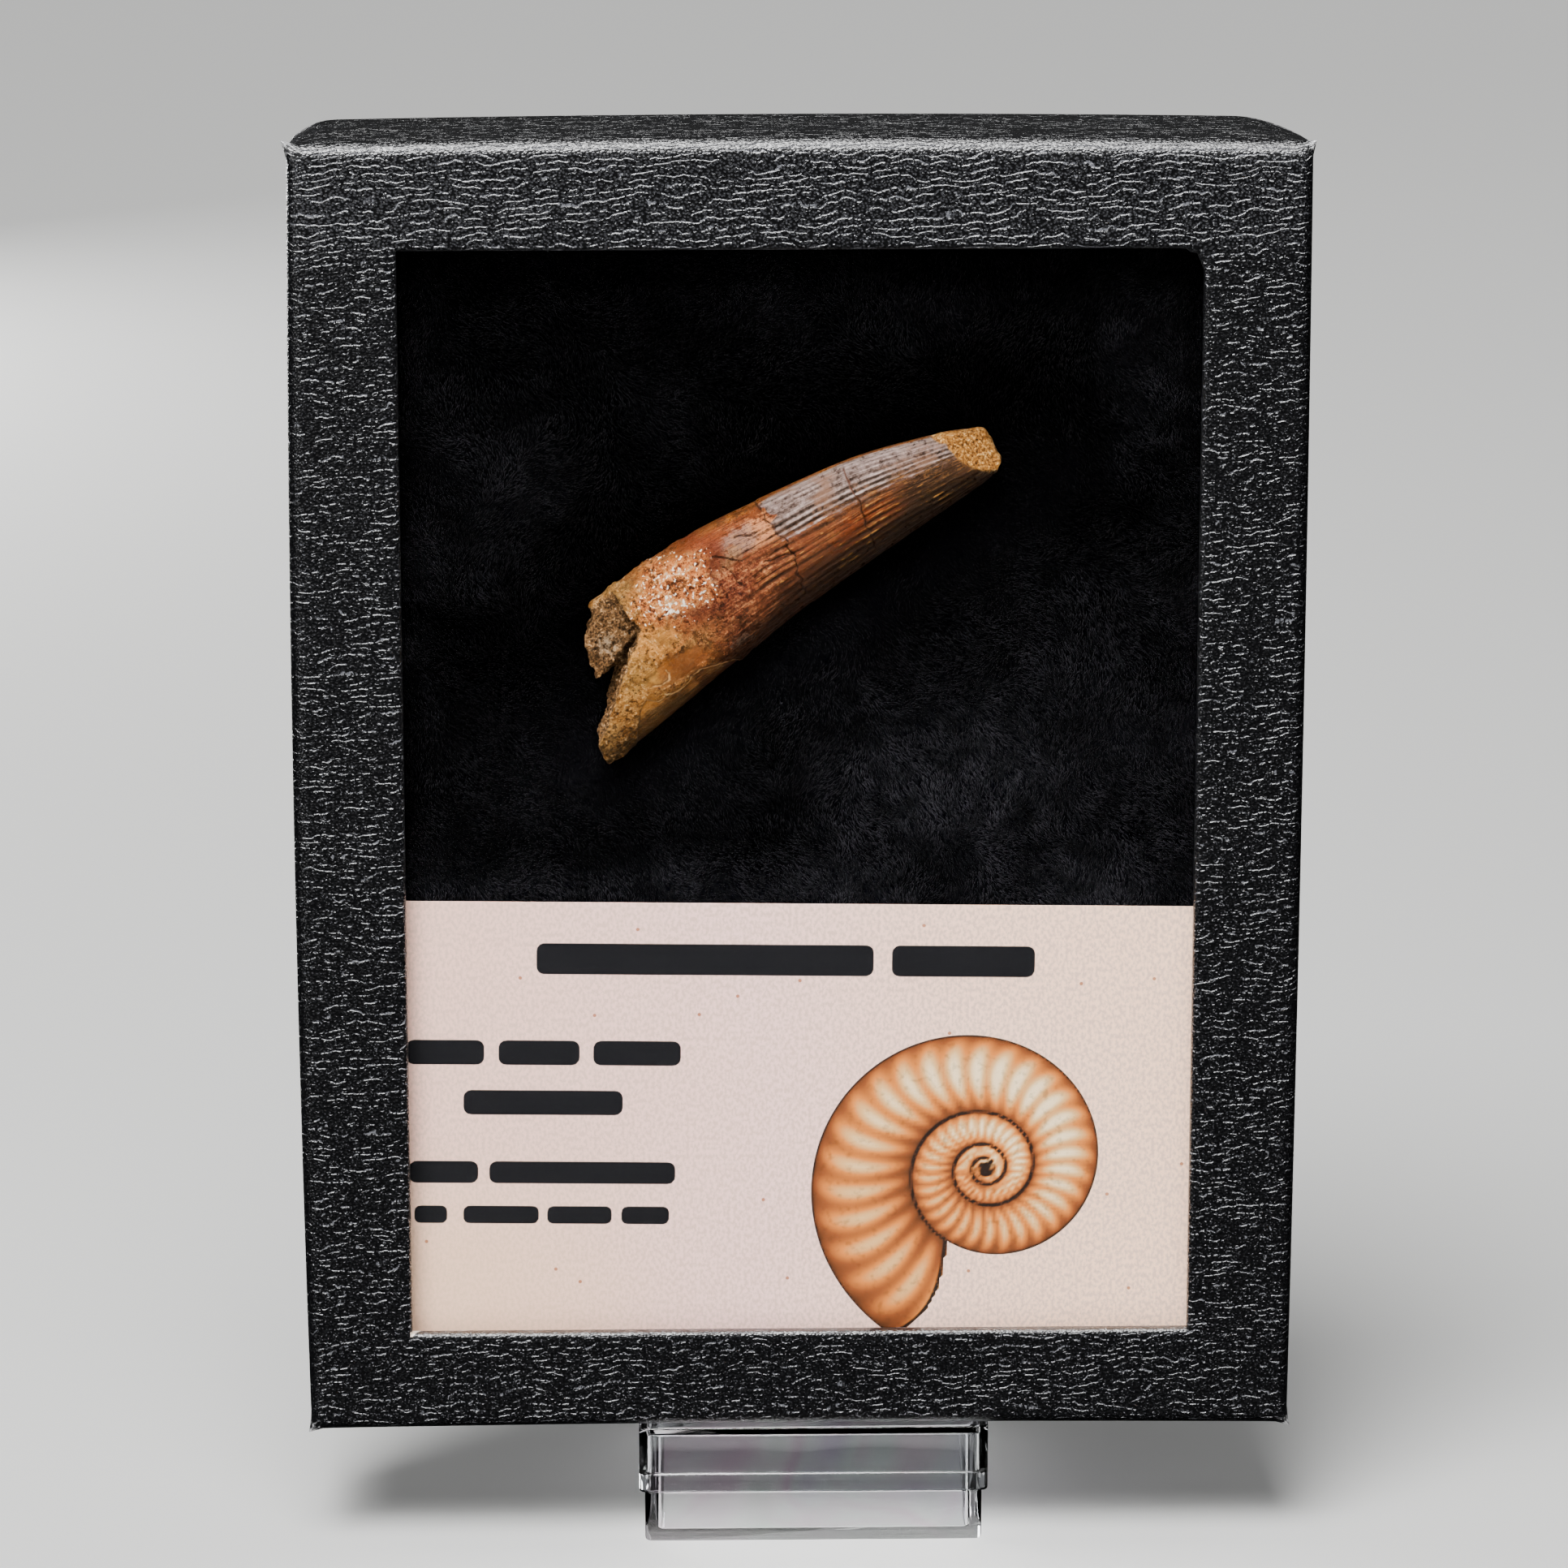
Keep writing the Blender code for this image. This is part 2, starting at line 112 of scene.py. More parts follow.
TOOTH_PLACE = Matrix.Translation((TOOTH_START[0], 0, TOOTH_START[1])) @ Matrix.Rotation(-TOOTH_TURN, 4, "Y")
# Cracks in the enamel as points along and across
CRACKS = (
    ((52.9, 11.6), (52.7, 9.9), (52.4, 8.8), (52.3, 6.2), (51.5, 4.3), (51.3, 3.0), (50.6, -0.4)),
    ((38.6, 14.3), (39.2, 13.2), (38.6, 12.2), (39.4, 11.0), (39.2, 9.4), (39.9, 8.2), (39.2, 7.1)),
    ((39.2, 7.1), (39.7, 5.2), (38.9, 3.9), (38.3, 2.8), (38.6, 1.6), (38.0, 0.6), (37.6, -1.0)),
    ((29.0, 11.9), (30.6, 10.7), (31.4, 9.9), (32.7, 8.8)),
    ((29.6, 9.8), (30.4, 7.9), (30.2, 6.8), (30.7, 5.6)),
    ((33.4, 12.4), (34.6, 12.0), (35.9, 11.1), (36.9, 11.2)),
    ((35.2, 7.3), (36.4, 6.4), (37.4, 6.3), (39.0, 6.0)),
    ((8.3, -1.1), (9.6, -2.5), (12.9, -3.1), (15.4, -2.6), (17.6, -1.8), (20.2, -3.1), (23.0, -4.3)),
    ((10.2, 0.2), (11.5, -0.5), (12.9, -0.3), (13.7, 0.3), (13.5, 1.0)),
)
# Edge of the sandy break at the tip, from below
TIP_EDGE = ((-3.0, 74.0), (-0.8, 72.2), (2.0, 69.3), (6.9, 67.7), (8.6, 66.2), (9.6, 63.6), (10.6, 60.0))
# Edge of the rough crust on the root, below which it's worn smooth
CRUST_EDGE = (
    (2.0, -8.0), (4.5, -4.6), (6.5, -2.4), (8.3, -1.1), (9.6, -2.5), (12.9, -3.1),
    (15.4, -2.6), (17.6, -1.8), (20.2, -3.1), (23.0, -4.3), (24.5, -8.0),
)
# Edge of the whole enamel, which is chipped off on the root's side
CHIP_EDGE = (
    (38.2, 16.5), (38.9, 13.9), (40.9, 11.7), (38.9, 11.3), (39.2, 9.4),
    (39.2, 7.1), (39.9, 5.2), (38.3, 2.8), (38.0, 0.7), (37.4, -5.0),
)

rng = np.random.default_rng(20)
noise.seed_set(20)


# Small helpers

# The setting that holds the mode of a kind of node, and the kinds that are used most
MODES = {
    "Math": "operation", "VectorMath": "operation", "MapRange": "interpolation_type", "Mix": "data_type",
    "TexNoise": "noise_dimensions", "TexVoronoi": "voronoi_dimensions",
}
TIMES, TIMES_PLUS, LESS = "Math MULTIPLY", "Math MULTIPLY_ADD", "Math SUBTRACT"
RANGE, BLEND = "MapRange SMOOTHSTEP", "Mix RGBA"
OFFSET, AWAY = "VectorMath SUBTRACT", "VectorMath LENGTH"


def linear(code):
    parts = [int(code[i : i + 2], 16) / 255 for i in (1, 3, 5)]
    return [c / 12.92 if c <= 0.04045 else ((c + 0.055) / 1.055) ** 2.4 for c in parts] + [1.0]


def smooth(low, high, value):
    t = np.clip((value - low) / (high - low), 0, 1)
    return t * t * (3 - 2 * t)


def feed(node, inputs):
    """Links or sets a node's inputs. Each is its socket or name, then an output, a value or a colour."""
    for socket, value in inputs:
        if isinstance(socket, str):
            socket = node.inputs[socket.replace("_", " ")]
        if isinstance(value, bpy.types.NodeSocket):
            node.id_data.links.new(value, socket)
        else:
            socket.default_value = linear(value) if isinstance(value, str) else value


def add_node(tree, kind, *inputs, take=0, stops=(), **more):
    """Adds a node, its mode after its kind, and gives the output to take.

    Its inputs come in order or by name, and the names without a capital are its settings.
    """
    kind, *mode = kind.split()
    made = tree.nodes.new("ShaderNode" + kind)
    for name, value in {**{MODES[kind]: m for m in mode}, **more}.items():
        if name[0].islower():
            setattr(made, name, value)
    feed(made, zip([socket for socket in made.inputs if socket.enabled], inputs))
    feed(made, [(name, value) for name, value in more.items() if name[0].isupper()])
    for i, (place, colour) in enumerate(stops):
        stop = made.color_ramp.elements[i] if i < 2 else made.color_ramp.elements.new(place)
        stop.position = place
        stop.color = linear(colour)
    outputs = [socket for socket in made.outputs if socket.enabled]
    return outputs if take == "all" else made.outputs[take] if isinstance(take, str) else outputs[take]


def new_material(name, **inputs):
    """A Principled material, its shader, and add_node for its own tree."""
    made = bpy.data.materials.new(name)
    made.use_nodes = True
    shader = made.node_tree.nodes["Principled BSDF"]
    feed(shader, inputs.items())
    return made, shader, partial(add_node, made.node_tree)


def round_edges(shape, edges, radius, segments):
    bmesh.ops.bevel(
        shape, geom=edges, offset=radius, segments=segments, profile=0.5, affect="EDGES", material=-1
    )


def sharp_edges(shape, degrees=40):
    limit = math.radians(degrees)
    return [e for e in shape.edges if len(e.link_faces) == 2 and e.calc_face_angle() > limit]


def open_edges(shape):
    return [e for e in shape.edges if e.is_boundary]


def verts_in(geom):
    return [v for v in geom if isinstance(v, bmesh.types.BMVert)]


def subdivide_long(shape, longer_than, cuts):
    edges = [e for e in shape.edges if e.calc_length() > longer_than]
    bmesh.ops.subdivide_edges(shape, edges=edges, cuts=cuts, use_grid_fill=True)


def mesh_of(name, shape):
    mesh = bpy.data.meshes.new(name)
    shape.to_mesh(mesh)
    shape.free()
    return mesh


def linked(name, data):
    made = bpy.data.objects.new(name, data)
    bpy.context.scene.collection.objects.link(made)
    return made


def finish_piece(name, shape, place, finish, node, sharp=35):
    """Makes a shape in millimetres a piece in its place, which rides on the case and stands for its node."""
    mesh = mesh_of(name, shape) if isinstance(shape, bmesh.types.BMesh) else shape
    mesh.name = name
    mesh.transform(place)
    mesh.materials.append(finish)
    mesh.shade_smooth()
    if sharp:
        mesh.set_sharp_from_angle(angle=math.radians(sharp))
    piece = linked(name, mesh)
    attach(piece, "root")
    if node:
        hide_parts(node)
    return piece


def evaluated_mesh(mesh, *modifiers):
    """A mesh with modifiers applied, each given as its kind and its settings."""
    holder = linked("holder", mesh)
    for kind, settings in modifiers:
        change = holder.modifiers.new(kind, kind)
        for key, value in settings.items():
            setattr(change, key, value)
    bpy.context.view_layer.update()
    made = bpy.data.meshes.new_from_object(holder.evaluated_get(bpy.context.evaluated_depsgraph_get()))
    bpy.data.objects.remove(holder, do_unlink=True)
    return made


def settled_mesh(name, shape):
    """The shape as a mesh, its corners and faces in an order that is the same each run."""
    order = sorted(shape.verts, key=lambda v: tuple(round(c, 5) for c in v.co))
    number = {v: i for i, v in enumerate(order)}
    faces = []
    for face in shape.faces:
        ring = [number[v] for v in face.verts]
        first = ring.index(min(ring))
        faces.append(ring[first:] + ring[:first])
    mesh = bpy.data.meshes.new(name)
    mesh.from_pydata([[round(c, 5) for c in v.co] for v in order], [], sorted(faces))
    shape.free()
    return mesh


def read_vectors(data, name):
    flat = np.empty(len(data) * 3, np.float32)
    data.foreach_get(name, flat)
    return flat.reshape(-1, 3).astype(float)


def store(mesh, **fields):
    """Keeps numbers for each corner, for a material to read."""
    for name, values in fields.items():
        mesh.attributes.new(name, "FLOAT", "POINT").data.foreach_set("value", np.asarray(values, np.float32))


def lumps(points, size, octaves=3, seed=0.0):
    """Soft noise of a size in millimetres, about -1 to 1, at each point."""
    shift = Vector((seed * 17.3, seed * 5.1, seed * 9.7))
    return np.array([noise.fractal(Vector(p) / size + shift, 1.0, 2.0, octaves) for p in points.tolist()])


# The tooth's measured form


def section_table():
    """Middle, depth, half width and half thickness every half millimetre along the tooth."""
    rows = np.array(TOOTH_STATIONS, float)
    table = []
    for along in np.arange(rows[0][0], rows[-1][0] + 0.25, 0.5):
        k = max(i for i in range(len(rows) - 1) if rows[i][0] <= min(along, rows[-1][0] - 0.01))
        before, here = rows[max(k - 1, 0)], rows[k]
        after, beyond = rows[k + 1], rows[min(k + 2, len(rows) - 1)]
        span = after[0] - here[0]
        t = (along - here[0]) / span
        _, low, high, thick = (
            (2 * t**3 - 3 * t**2 + 1) * here
            + (t**3 - 2 * t**2 + t) * (after - before) / (after[0] - before[0]) * span
            + (3 * t**2 - 2 * t**3) * after
            + (t**3 - t**2) * (beyond - here) / (beyond[0] - here[0]) * span
        )
        lean = TIP_LEAN * max(along / TIP_END, 0) ** 2
        table.append((along, (low + high) / 2, TOOTH_FRONT + lean + thick / 2, (high - low) / 2, thick / 2))
    return np.array(table)


SECTIONS = section_table()


def tooth_section(along):
    return [np.interp(along, SECTIONS[:, 0], SECTIONS[:, c]) for c in (1, 2, 3, 4)]


def tooth_coordinates(x, height):
    dx, dz = x - TOOTH_START[0], height - TOOTH_START[1]
    c, s = math.cos(TOOTH_TURN), math.sin(TOOTH_TURN)
    return dx * c + dz * s, dz * c - dx * s


def distance_to_line(along, across, line):
    """Distance of each place to a line of points."""
    nearest = np.full(along.shape, 1e9)
    for (a0, w0), (a1, w1) in zip(line, line[1:]):
        da, dw = a1 - a0, w1 - w0
        t = np.clip(((along - a0) * da + (across - w0) * dw) / (da * da + dw * dw), 0, 1)
        nearest = np.minimum(nearest, np.hypot(along - a0 - t * da, across - w0 - t * dw))
    return nearest


# Materials


def grained_paper():
    """Glossy black paper embossed with a leather grain: near black, with thin bright glints on its creases,
    from its gloss and also painted grey into its colour.

    Its patterns lie on the paper as it was flat, in millimetres.
    """
    made, shader, add = new_material(
        "embossed coated paper", Roughness=0.3, Specular_IOR_Level=0.75, Coat_Weight=0.5, Coat_Roughness=0.16
    )

    def cloud(scale, detail=2.0):
        return add("TexNoise 2D", add("Mapping", mm, Scale=(*scale, 1)), 1.0, detail)

    def off_middle(rows):
        """Distance from the middle of each row of creases."""
        return add("Math ABSOLUTE", add(LESS, add("Math FRACT", rows), 0.5))

    mm = add("Mapping", add("UVMap", uv_map="paper"), Scale=(1000, 1000, 1000))
    across, up, _ = add("SeparateXYZ", mm, take="all")
    # Creases about 1.2 mm apart run across the sheet, rise a little to the right and break off every few mm
    rise = add(TIMES_PLUS, across, -0.05, add("Math DIVIDE", up, 1.2))
    swell = add(TIMES_PLUS, cloud((0.1, 0.16)), 3.0, rise)
    wave = add(TIMES_PLUS, cloud((0.55, 0.5), 4.0), 0.9, swell)
    off_line = off_middle(wave)
    row_place = add("CombineXYZ", add(TIMES, across, 0.36), add(TIMES, add("Math FLOOR", wave), 7.3))
    row_cloud = add("TexNoise 2D", row_place, 1.0, 4.0, 0.6)
    # More creases run near the top border: more grain there and more of its painted glints, a lighter top as
    # painted light from above.
    window_top = CASE_HEIGHT - BORDER
    at_top = add(RANGE, up, window_top - 2, window_top + 2)
    run = add(
        TIMES, add(RANGE, add(TIMES_PLUS, at_top, 0.05, row_cloud), 0.48, 0.54),
        add(RANGE, add(TIMES_PLUS, at_top, 0.08, cloud((1.9, 0.7))), 0.36, 0.46),
    )
    # Short finer creases between them
    off_fine = off_middle(add(TIMES_PLUS, cloud((0.9, 1.0)), 2.2, add(TIMES, rise, 1.9)))
    fine_run = add(RANGE, cloud((1.3, 1.6), 3.0), 0.57, 0.66)
    # Pebbles of about 0.5 mm
    pebble = add("TexVoronoi 2D", add("Mapping", mm, Scale=(1.9, 2.3, 1)), 1.0)
    groove = add(TIMES, add(LESS, 1.0, add(RANGE, off_line, 0.0, 0.16)), run)
    fine_groove = add(TIMES, add(LESS, 1.0, add(RANGE, off_fine, 0.0, 0.2)), fine_run)
    height = add(TIMES_PLUS, groove, -1.0, add(TIMES, fine_groove, -0.5))
    height = add(TIMES_PLUS, add(RANGE, pebble, 0.65, 0.1), 0.4, height)
    bump = add("Bump", Height=height, Strength=1.0, Distance=0.00011)
    # Painted highlights: the black is painted grey along the creases and on some of the pebbles as their
    # glints, and on more pebbles in the upper border as painted light from above.
    line = add(TIMES, add(RANGE, off_line, 0.09, 0.035), run)
    dot = add(TIMES, add(RANGE, pebble, 0.24, 0.08), add(RANGE, cloud((1.7, 1.9)), 0.5, 0.62))
    fine_line = add(TIMES, add(RANGE, off_fine, 0.13, 0.05), fine_run)
    upper_border = add(TIMES, at_top, add(RANGE, up, CASE_HEIGHT + 3, CASE_HEIGHT))
    pebble_painted_light = add(TIMES, add(RANGE, pebble, 0.45, 0.15), add(TIMES_PLUS, upper_border, 0.2, 0.03))
    painted_glints = add(
        "Math MAXIMUM", add("Math MAXIMUM", line, pebble_painted_light),
        add("Math MAXIMUM", add(TIMES, dot, 0.6), add(TIMES, fine_line, 0.65)),
    )
    # None of it on the smooth rounded edges
    edge, wear = (add("Attribute", attribute_name=name, take="Fac") for name in ("edge", "wear"))
    colour = add(BLEND, add(TIMES, painted_glints, edge), "#09090B", "#66676D")
    # The folded corners are worn pale
    worn_through = add(TIMES_PLUS, cloud((1.6, 1.6), 5.0), 1.2, wear)
    colour = add(BLEND, add(RANGE, worn_through, 1.0, 1.45, 0, 0.9), colour, "#C8C8CA")
    # A little bare board shows where the paper is mitred, in the window's lower left corner
    corner = Vector((BORDER - CASE_WIDTH / 2, 0, BORDER))
    place = add("TexCoord", take="Object")
    here = add("Mapping", place, Scale=(1000, 1000, 1000), Location=CASE_PLACE @ corner * -1000)
    right, back, above = add("SeparateXYZ", here, take="all")
    mitre = add(RANGE, add(TIMES_PLUS, back, -0.7, right), 0.05, -0.05)
    low = add(TIMES, add(RANGE, above, 0.4, 0.3), add(RANGE, above, -2.0, -1.5))
    low = add(TIMES, low, add(RANGE, back, 0.05, 0.15))
    bare = add(TIMES, add(TIMES, mitre, low), add(RANGE, right, -0.4, -0.3))
    colour = add(BLEND, bare, colour, "#F2E2D2")
    feed(shader, (("Base Color", colour), ("Normal", bump), ("Coat Normal", bump)))
    return made


def tray_paper():
    """Matte black paper on board: flat, with faint fibres and a faint cloudy tone."""
    made, shader, add = new_material("matte black paper", Roughness=0.62, Specular_IOR_Level=0.35)
    place = add("TexCoord", take="Object")
    fibres, clouds = add("TexNoise", place, 2600.0, 3.0), add("TexNoise", place, 60.0, 4.0)
    feed(shader, (
        ("Base Color", add("ValToRGB", clouds, stops=((0.3, "#18181A"), (0.75, "#262628")))),
        ("Normal", add("Bump", Height=fibres, Strength=0.5, Distance=0.00003)),
    ))
    return made


def window_glass():
    """Float glass: clear and flat, its gloss kept faint so that it lays no veil on the black plush."""
    made, shader, add = new_material(
        "float glass", Base_Color="#FFFFFF", Transmission_Weight=1.0, IOR=1.22, Specular_Tint="#3A3A3A"
    )
    smears = add("TexNoise", add("TexCoord", take="Object"), 45.0, 3.0)
    feed(shader, [("Roughness", add("MapRange", smears, 0.62, 0.8, 0, 0.015))])
    return made


def clear_plastic():
    """Moulded polystyrene: clear, with bright edges, fine scratches from rubbing and a faint ripple."""
    made, shader, add = new_material("moulded polystyrene", Transmission_Weight=1.0, IOR=1.58)
    place = add("TexCoord", take="Object")
    drawn = add("Mapping", place, Scale=(90, 90, 900), Rotation=(0.3, 0.5, 0.2))
    scratches = add("TexNoise", drawn, 1.0, 6.0)
    # Strain in the moulding tints the light faintly green and violet
    strain = add("TexNoise", place, 55.0, 1.5, Distortion=0.6)
    tint = add("ValToRGB", strain, stops=(
        (0.3, "#EEF6F2"), (0.7, "#F2EEF8"), (0.42, "#FBFCFD"), (0.5, "#F8EEF6"), (0.58, "#F6FAFA"),
    ))
    ripple = add("TexNoise", place, 70.0, 1.0)
    feed(shader, (
        ("Base Color", tint),
        ("Roughness", add("MapRange", scratches, 0.6, 0.72, 0.015, 0.16)),
        ("Normal", add("Bump", Height=ripple, Strength=0.3, Distance=0.0004)),
    ))
    return made


def nap_and_painted_shade(add, place, colour):
    """The pile's colour with painted light and shade: lighter where the cloth rises and darker in its dips
    round the tooth, lighter in soft patches as painted sheen of the pile, and darker near the top as painted
    shade.
    """
    _, depth, height = add("SeparateXYZ", place, take="all")
    # Painted light on the raised folds and painted shade in the dips; soft lighter patches of painted sheen;
    # painted shade darker near the top
    rise = add(RANGE, depth, -0.0202, -0.0221, 0.5, 1.8)
    lie = add(RANGE, add("TexNoise", place, 45.0, 1.0), 0.4, 0.62, 0.75, 1.4)
    shade = add(RANGE, height, 0.115, 0.185, 1.25, 0.55)
    return add("VectorMath SCALE", colour, add(TIMES, add(TIMES, rise, lie), shade))


def plush_cloth():
    """Black short-pile plush: it swallows light, with grey strokes where the pile lies over."""
    made, shader, add = new_material(
        "black plush", Roughness=0.95, Specular_IOR_Level=0.0,
        Sheen_Weight=0.06, Sheen_Roughness=0.35, Sheen_Tint="#6A6A70",
    )
    place = add("TexCoord", take="Object")
    lie = add("TexNoise", place, 75.0, 2.0, take="Color")
    combed = add("VectorMath MULTIPLY_ADD", lie, (0.012, 0.012, 0.012), place)
    pile = add("TexNoise", add("Mapping", combed, Scale=(2600, 700, 1100), Rotation=(0, 0.7, 0)), 1.0, 3.0)
    colour = add("ValToRGB", pile, stops=((0.35, "#010102"), (0.6, "#070708"), (0.78, "#141416")))
    bump = add("Bump", Height=pile, Strength=1.0, Distance=0.0004)
    feed(shader, (("Base Color", nap_and_painted_shade(add, place, colour)), ("Normal", bump)))
    return made


def plush_fibre():
    """Polyester pile fibres: black, with a thin satin gloss along each one."""
    made, shader, add = new_material("polyester pile fibre", Roughness=0.45, Specular_IOR_Level=0.05)
    place = add("TexCoord", take="Object")
    tufts = add("TexNoise", place, 260.0, 3.0)
    colour = add("ValToRGB", tufts, stops=((0.38, "#020202"), (0.66, "#1D1C1F")))
    feed(shader, [("Base Color", nap_and_painted_shade(add, place, colour))])
    return made


def white_wadding():
    """Loose polyester fibre: white, soft and matted."""
    made, shader, add = new_material("polyester wadding", Roughness=0.9, Sheen_Weight=0.4)
    mat = add("TexNoise", add("TexCoord", take="Object"), 420.0, 6.0)
    feed(shader, (
        ("Base Color", add("ValToRGB", mat, stops=((0.3, "#CFCFC9"), (0.7, "#F2F2EE")))),
        ("Normal", add("Bump", Height=mat, Strength=0.8, Distance=0.0008)),
    ))
    return made


# Stains on the tooth, and one patch of painted shade: along, across, reach along, reach across, colour,
# amount, raggedness
STAINS_AND_SHADE = (
    (26, 8.0, 10.0, 8.0, "#5E2214", 0.65, 1.3),
    (28, 6.4, 4.5, 3.0, "#4C1614", 0.7, 1.2),
    (32, 0.5, 8.0, 4.0, "#74401E", 0.5, 1.3),
    (21.5, 13.4, 7.0, 2.4, "#B06A2C", 0.65, 1.0),
    (27.5, 13.8, 4.5, 1.8, "#763618", 0.65, 1.2),
    (37.3, 10.9, 3.0, 2.0, "#BC7A50", 0.85, 0.9),
    (33.4, 11.4, 3.6, 2.0, "#7E6256", 0.75, 1.0),
    (30.5, 10.4, 3.0, 1.6, "#7E5C3A", 0.6, 0.9),
    (51.5, 3.2, 7.5, 2.6, "#62260A", 0.95, 0.8),
    (63, 3.4, 6.5, 2.6, "#22130A", 0.85, 0.9),
    (62, 0.2, 8.0, 2.4, "#1E1208", 0.5, 0.8),
    (14.5, 0.4, 6.0, 2.6, "#663814", 0.85, 0.9),
    (20.5, -1.0, 3.6, 1.8, "#8E4C1C", 0.6, 1.2),
    (26.0, -3.0, 3.2, 1.4, "#24120E", 0.85, 0.9),
    (25.9, -1.4, 1.6, 0.7, "#C8B49A", 0.7, 1.8),
    (7.4, -1.8, 4.5, 1.3, "#B0702A", 0.6, 0.7),
    # Painted shade along the root's lower side, below its worn strip
    (9.0, -4.0, 6.0, 1.2, "#3A2010", 0.65, 0.8),
    (14.5, 5.6, 4.0, 2.4, "#EAA04A", 0.55, 1.2),
    (23.0, 3.0, 3.5, 2.4, "#C47A42", 0.5, 1.3),
    (27.8, 12.2, 3.8, 3.0, "#5E2818", 0.9, 1.3),
    (24.6, 5.8, 4.0, 2.6, "#7A3820", 0.5, 1.3),
    (18.0, 1.0, 4.5, 2.4, "#6E3814", 0.35, 1.2),
    (12.0, 2.4, 3.0, 2.0, "#9A5A1E", 0.5, 1.1),
    (9.5, 3.0, 3.6, 3.0, "#B48440", 0.6, 0.9),
    (12.7, 13.7, 4.5, 2.2, "#7E6638", 0.6, 0.9),
)


def fossil():
    """Fossil tooth: silver-grey and brown ridged enamel, maroon flecked dentine and a gritty ochre root."""
    made, shader, add = new_material(
        "fossil enamel and dentine", Specular_IOR_Level=0.3, Specular_Tint="#B89A80"
    )

    def jittered(value, *clouds):
        """The value with clouds added, each given with its reach."""
        for source, reach in clouds:
            value = add(TIMES_PLUS, add(LESS, source, 0.5), reach, value)
        return value

    def laid(over, *amounts):
        """The colour so far with another laid over it, by the product of some amounts."""
        return add(BLEND, reduce(partial(add, TIMES), amounts), colour, over)

    def away_from(at, up, scale=None):
        """Distance from a place on the tooth, with a scale along and across."""
        offset = add(OFFSET, flat, (at, up, 0))
        return add(AWAY, add("VectorMath MULTIPLY", offset, (*scale, 0)) if scale else offset)

    start = Matrix.Rotation(TOOTH_TURN, 3, "Y") @ (CASE_PLACE @ Vector((TOOTH_START[0], 0, TOOTH_START[1])))
    mm = add(
        "Mapping", add("TexCoord", take="Object"),
        Scale=(1000, 1000, 1000), Rotation=(0, TOOTH_TURN, 0), Location=start * -1000,
    )
    along, _, across = add("SeparateXYZ", mm, take="all")
    flat = add("CombineXYZ", along, across)
    crack, chip, broken, girth, rise, ridge, grit = (
        add("Attribute", attribute_name=name, take="Fac")
        for name in ("crack", "chip", "broken", "girth", "rise", "ridge", "grit")
    )
    wide, middle, fine, sand = (
        add("TexNoise", mm, *kind)
        for kind in ((0.22, 5.0, 0.6), (0.9, 5.0, 0.68), (2.6, 4.0, 0.75), (1.35, 3.0, 0.8))
    )
    # Fine growth lines along the tooth
    wrap = add("CombineXYZ", add(TIMES, along, 0.16), add(TIMES, girth, 3.2))
    lines = add("TexNoise", wrap, 1.0, 4.0, 0.75)

    colour = add(
        "ValToRGB", add("Math DIVIDE", jittered(along, (wide, 22.0)), 80.0),
        stops=((0.0, "#8E5E24"), (1.0, "#3E2010"), (0.12, "#B0722C"), (0.22, "#B26A30"), (0.3, "#7A331A"),
               (0.42, "#703618"), (0.52, "#6A341A"), (0.7, "#502A14")),
    )
    crown = add(RANGE, jittered(along, (middle, 9.0)), 27.0, 34.0)
    dentine = add(LESS, 1.0, crown)
    # Patches of umber and light ochre on the root
    patch = jittered(wide, (middle, 0.9), (fine, 0.35))
    for *ends, tone in ((0.52, 0.6, 0, 0.75, "#4E2C12"), (0.46, 0.38, 0, 0.6, "#E8AE62")):
        colour = laid(tone, add(RANGE, patch, *ends), dentine)
    for at, up, reach, spread, tone, amount, ragged in STAINS_AND_SHADE:
        away = away_from(at, up, (1 / reach, 1 / spread))
        edge = jittered(away, (middle, ragged * 2.2), (lines, ragged * 0.5), (fine, 0.8))
        colour = laid(tone, add(RANGE, edge, 1.15, 0.65, 0, amount))

    # Streaks along the crown
    streak = jittered(lines, (middle, 0.5), (fine, 0.5))
    for *ends, tone in ((0.5, 0.62, 0, 0.7, "#1C0E06"), (0.46, 0.36, 0, 0.35, "#B8824A")):
        colour = laid(tone, add(RANGE, streak, *ends), crown)
    # A flaky band of maroon, brown and tan between the root and the crown
    flaky = add(
        "ValToRGB", jittered(sand, (fine, 0.8), (lines, 0.7), (wide, 0.5)),
        stops=((0.36, "#2C100A"), (0.76, "#D89A64"), (0.48, "#5A2616"), (0.6, "#8A4E2C")),
    )
    uneven = jittered(along, (wide, 8.0))
    off_grey = add(RANGE, jittered(rise, (middle, 0.6)), 0.5, 0.3)
    colour = laid(flaky, add(RANGE, uneven, 20.0, 26.0), add(RANGE, uneven, 46.0, 35.0), off_grey, 0.75)
    # Painted shade: dark along the lower side, away from the light above
    painted_low_shade = add(TIMES_PLUS, add(RANGE, along, 24.0, 40.0), -0.35, rise)
    painted_low_shade = add(RANGE, jittered(painted_low_shade, (lines, 0.9)), -0.35, -0.95)
    colour = laid("#100703", painted_low_shade, 0.95)
    # Thin gold crests on the browner side
    crest = add(RANGE, jittered(ridge, (lines, 1.1), (middle, 1.6)), 0.75, 1.05)
    brown_side = add(RANGE, rise, 0.55, 0.25), add(RANGE, rise, -0.85, -0.4)
    colour = laid("#B07A36", crest, *brown_side, crown, 0.85)
    # Painted shade, dark in the grooves between the ridges
    colour = laid("#120804", add(RANGE, jittered(ridge, (lines, 0.8)), -0.2, -0.9, 0, 0.85), crown)
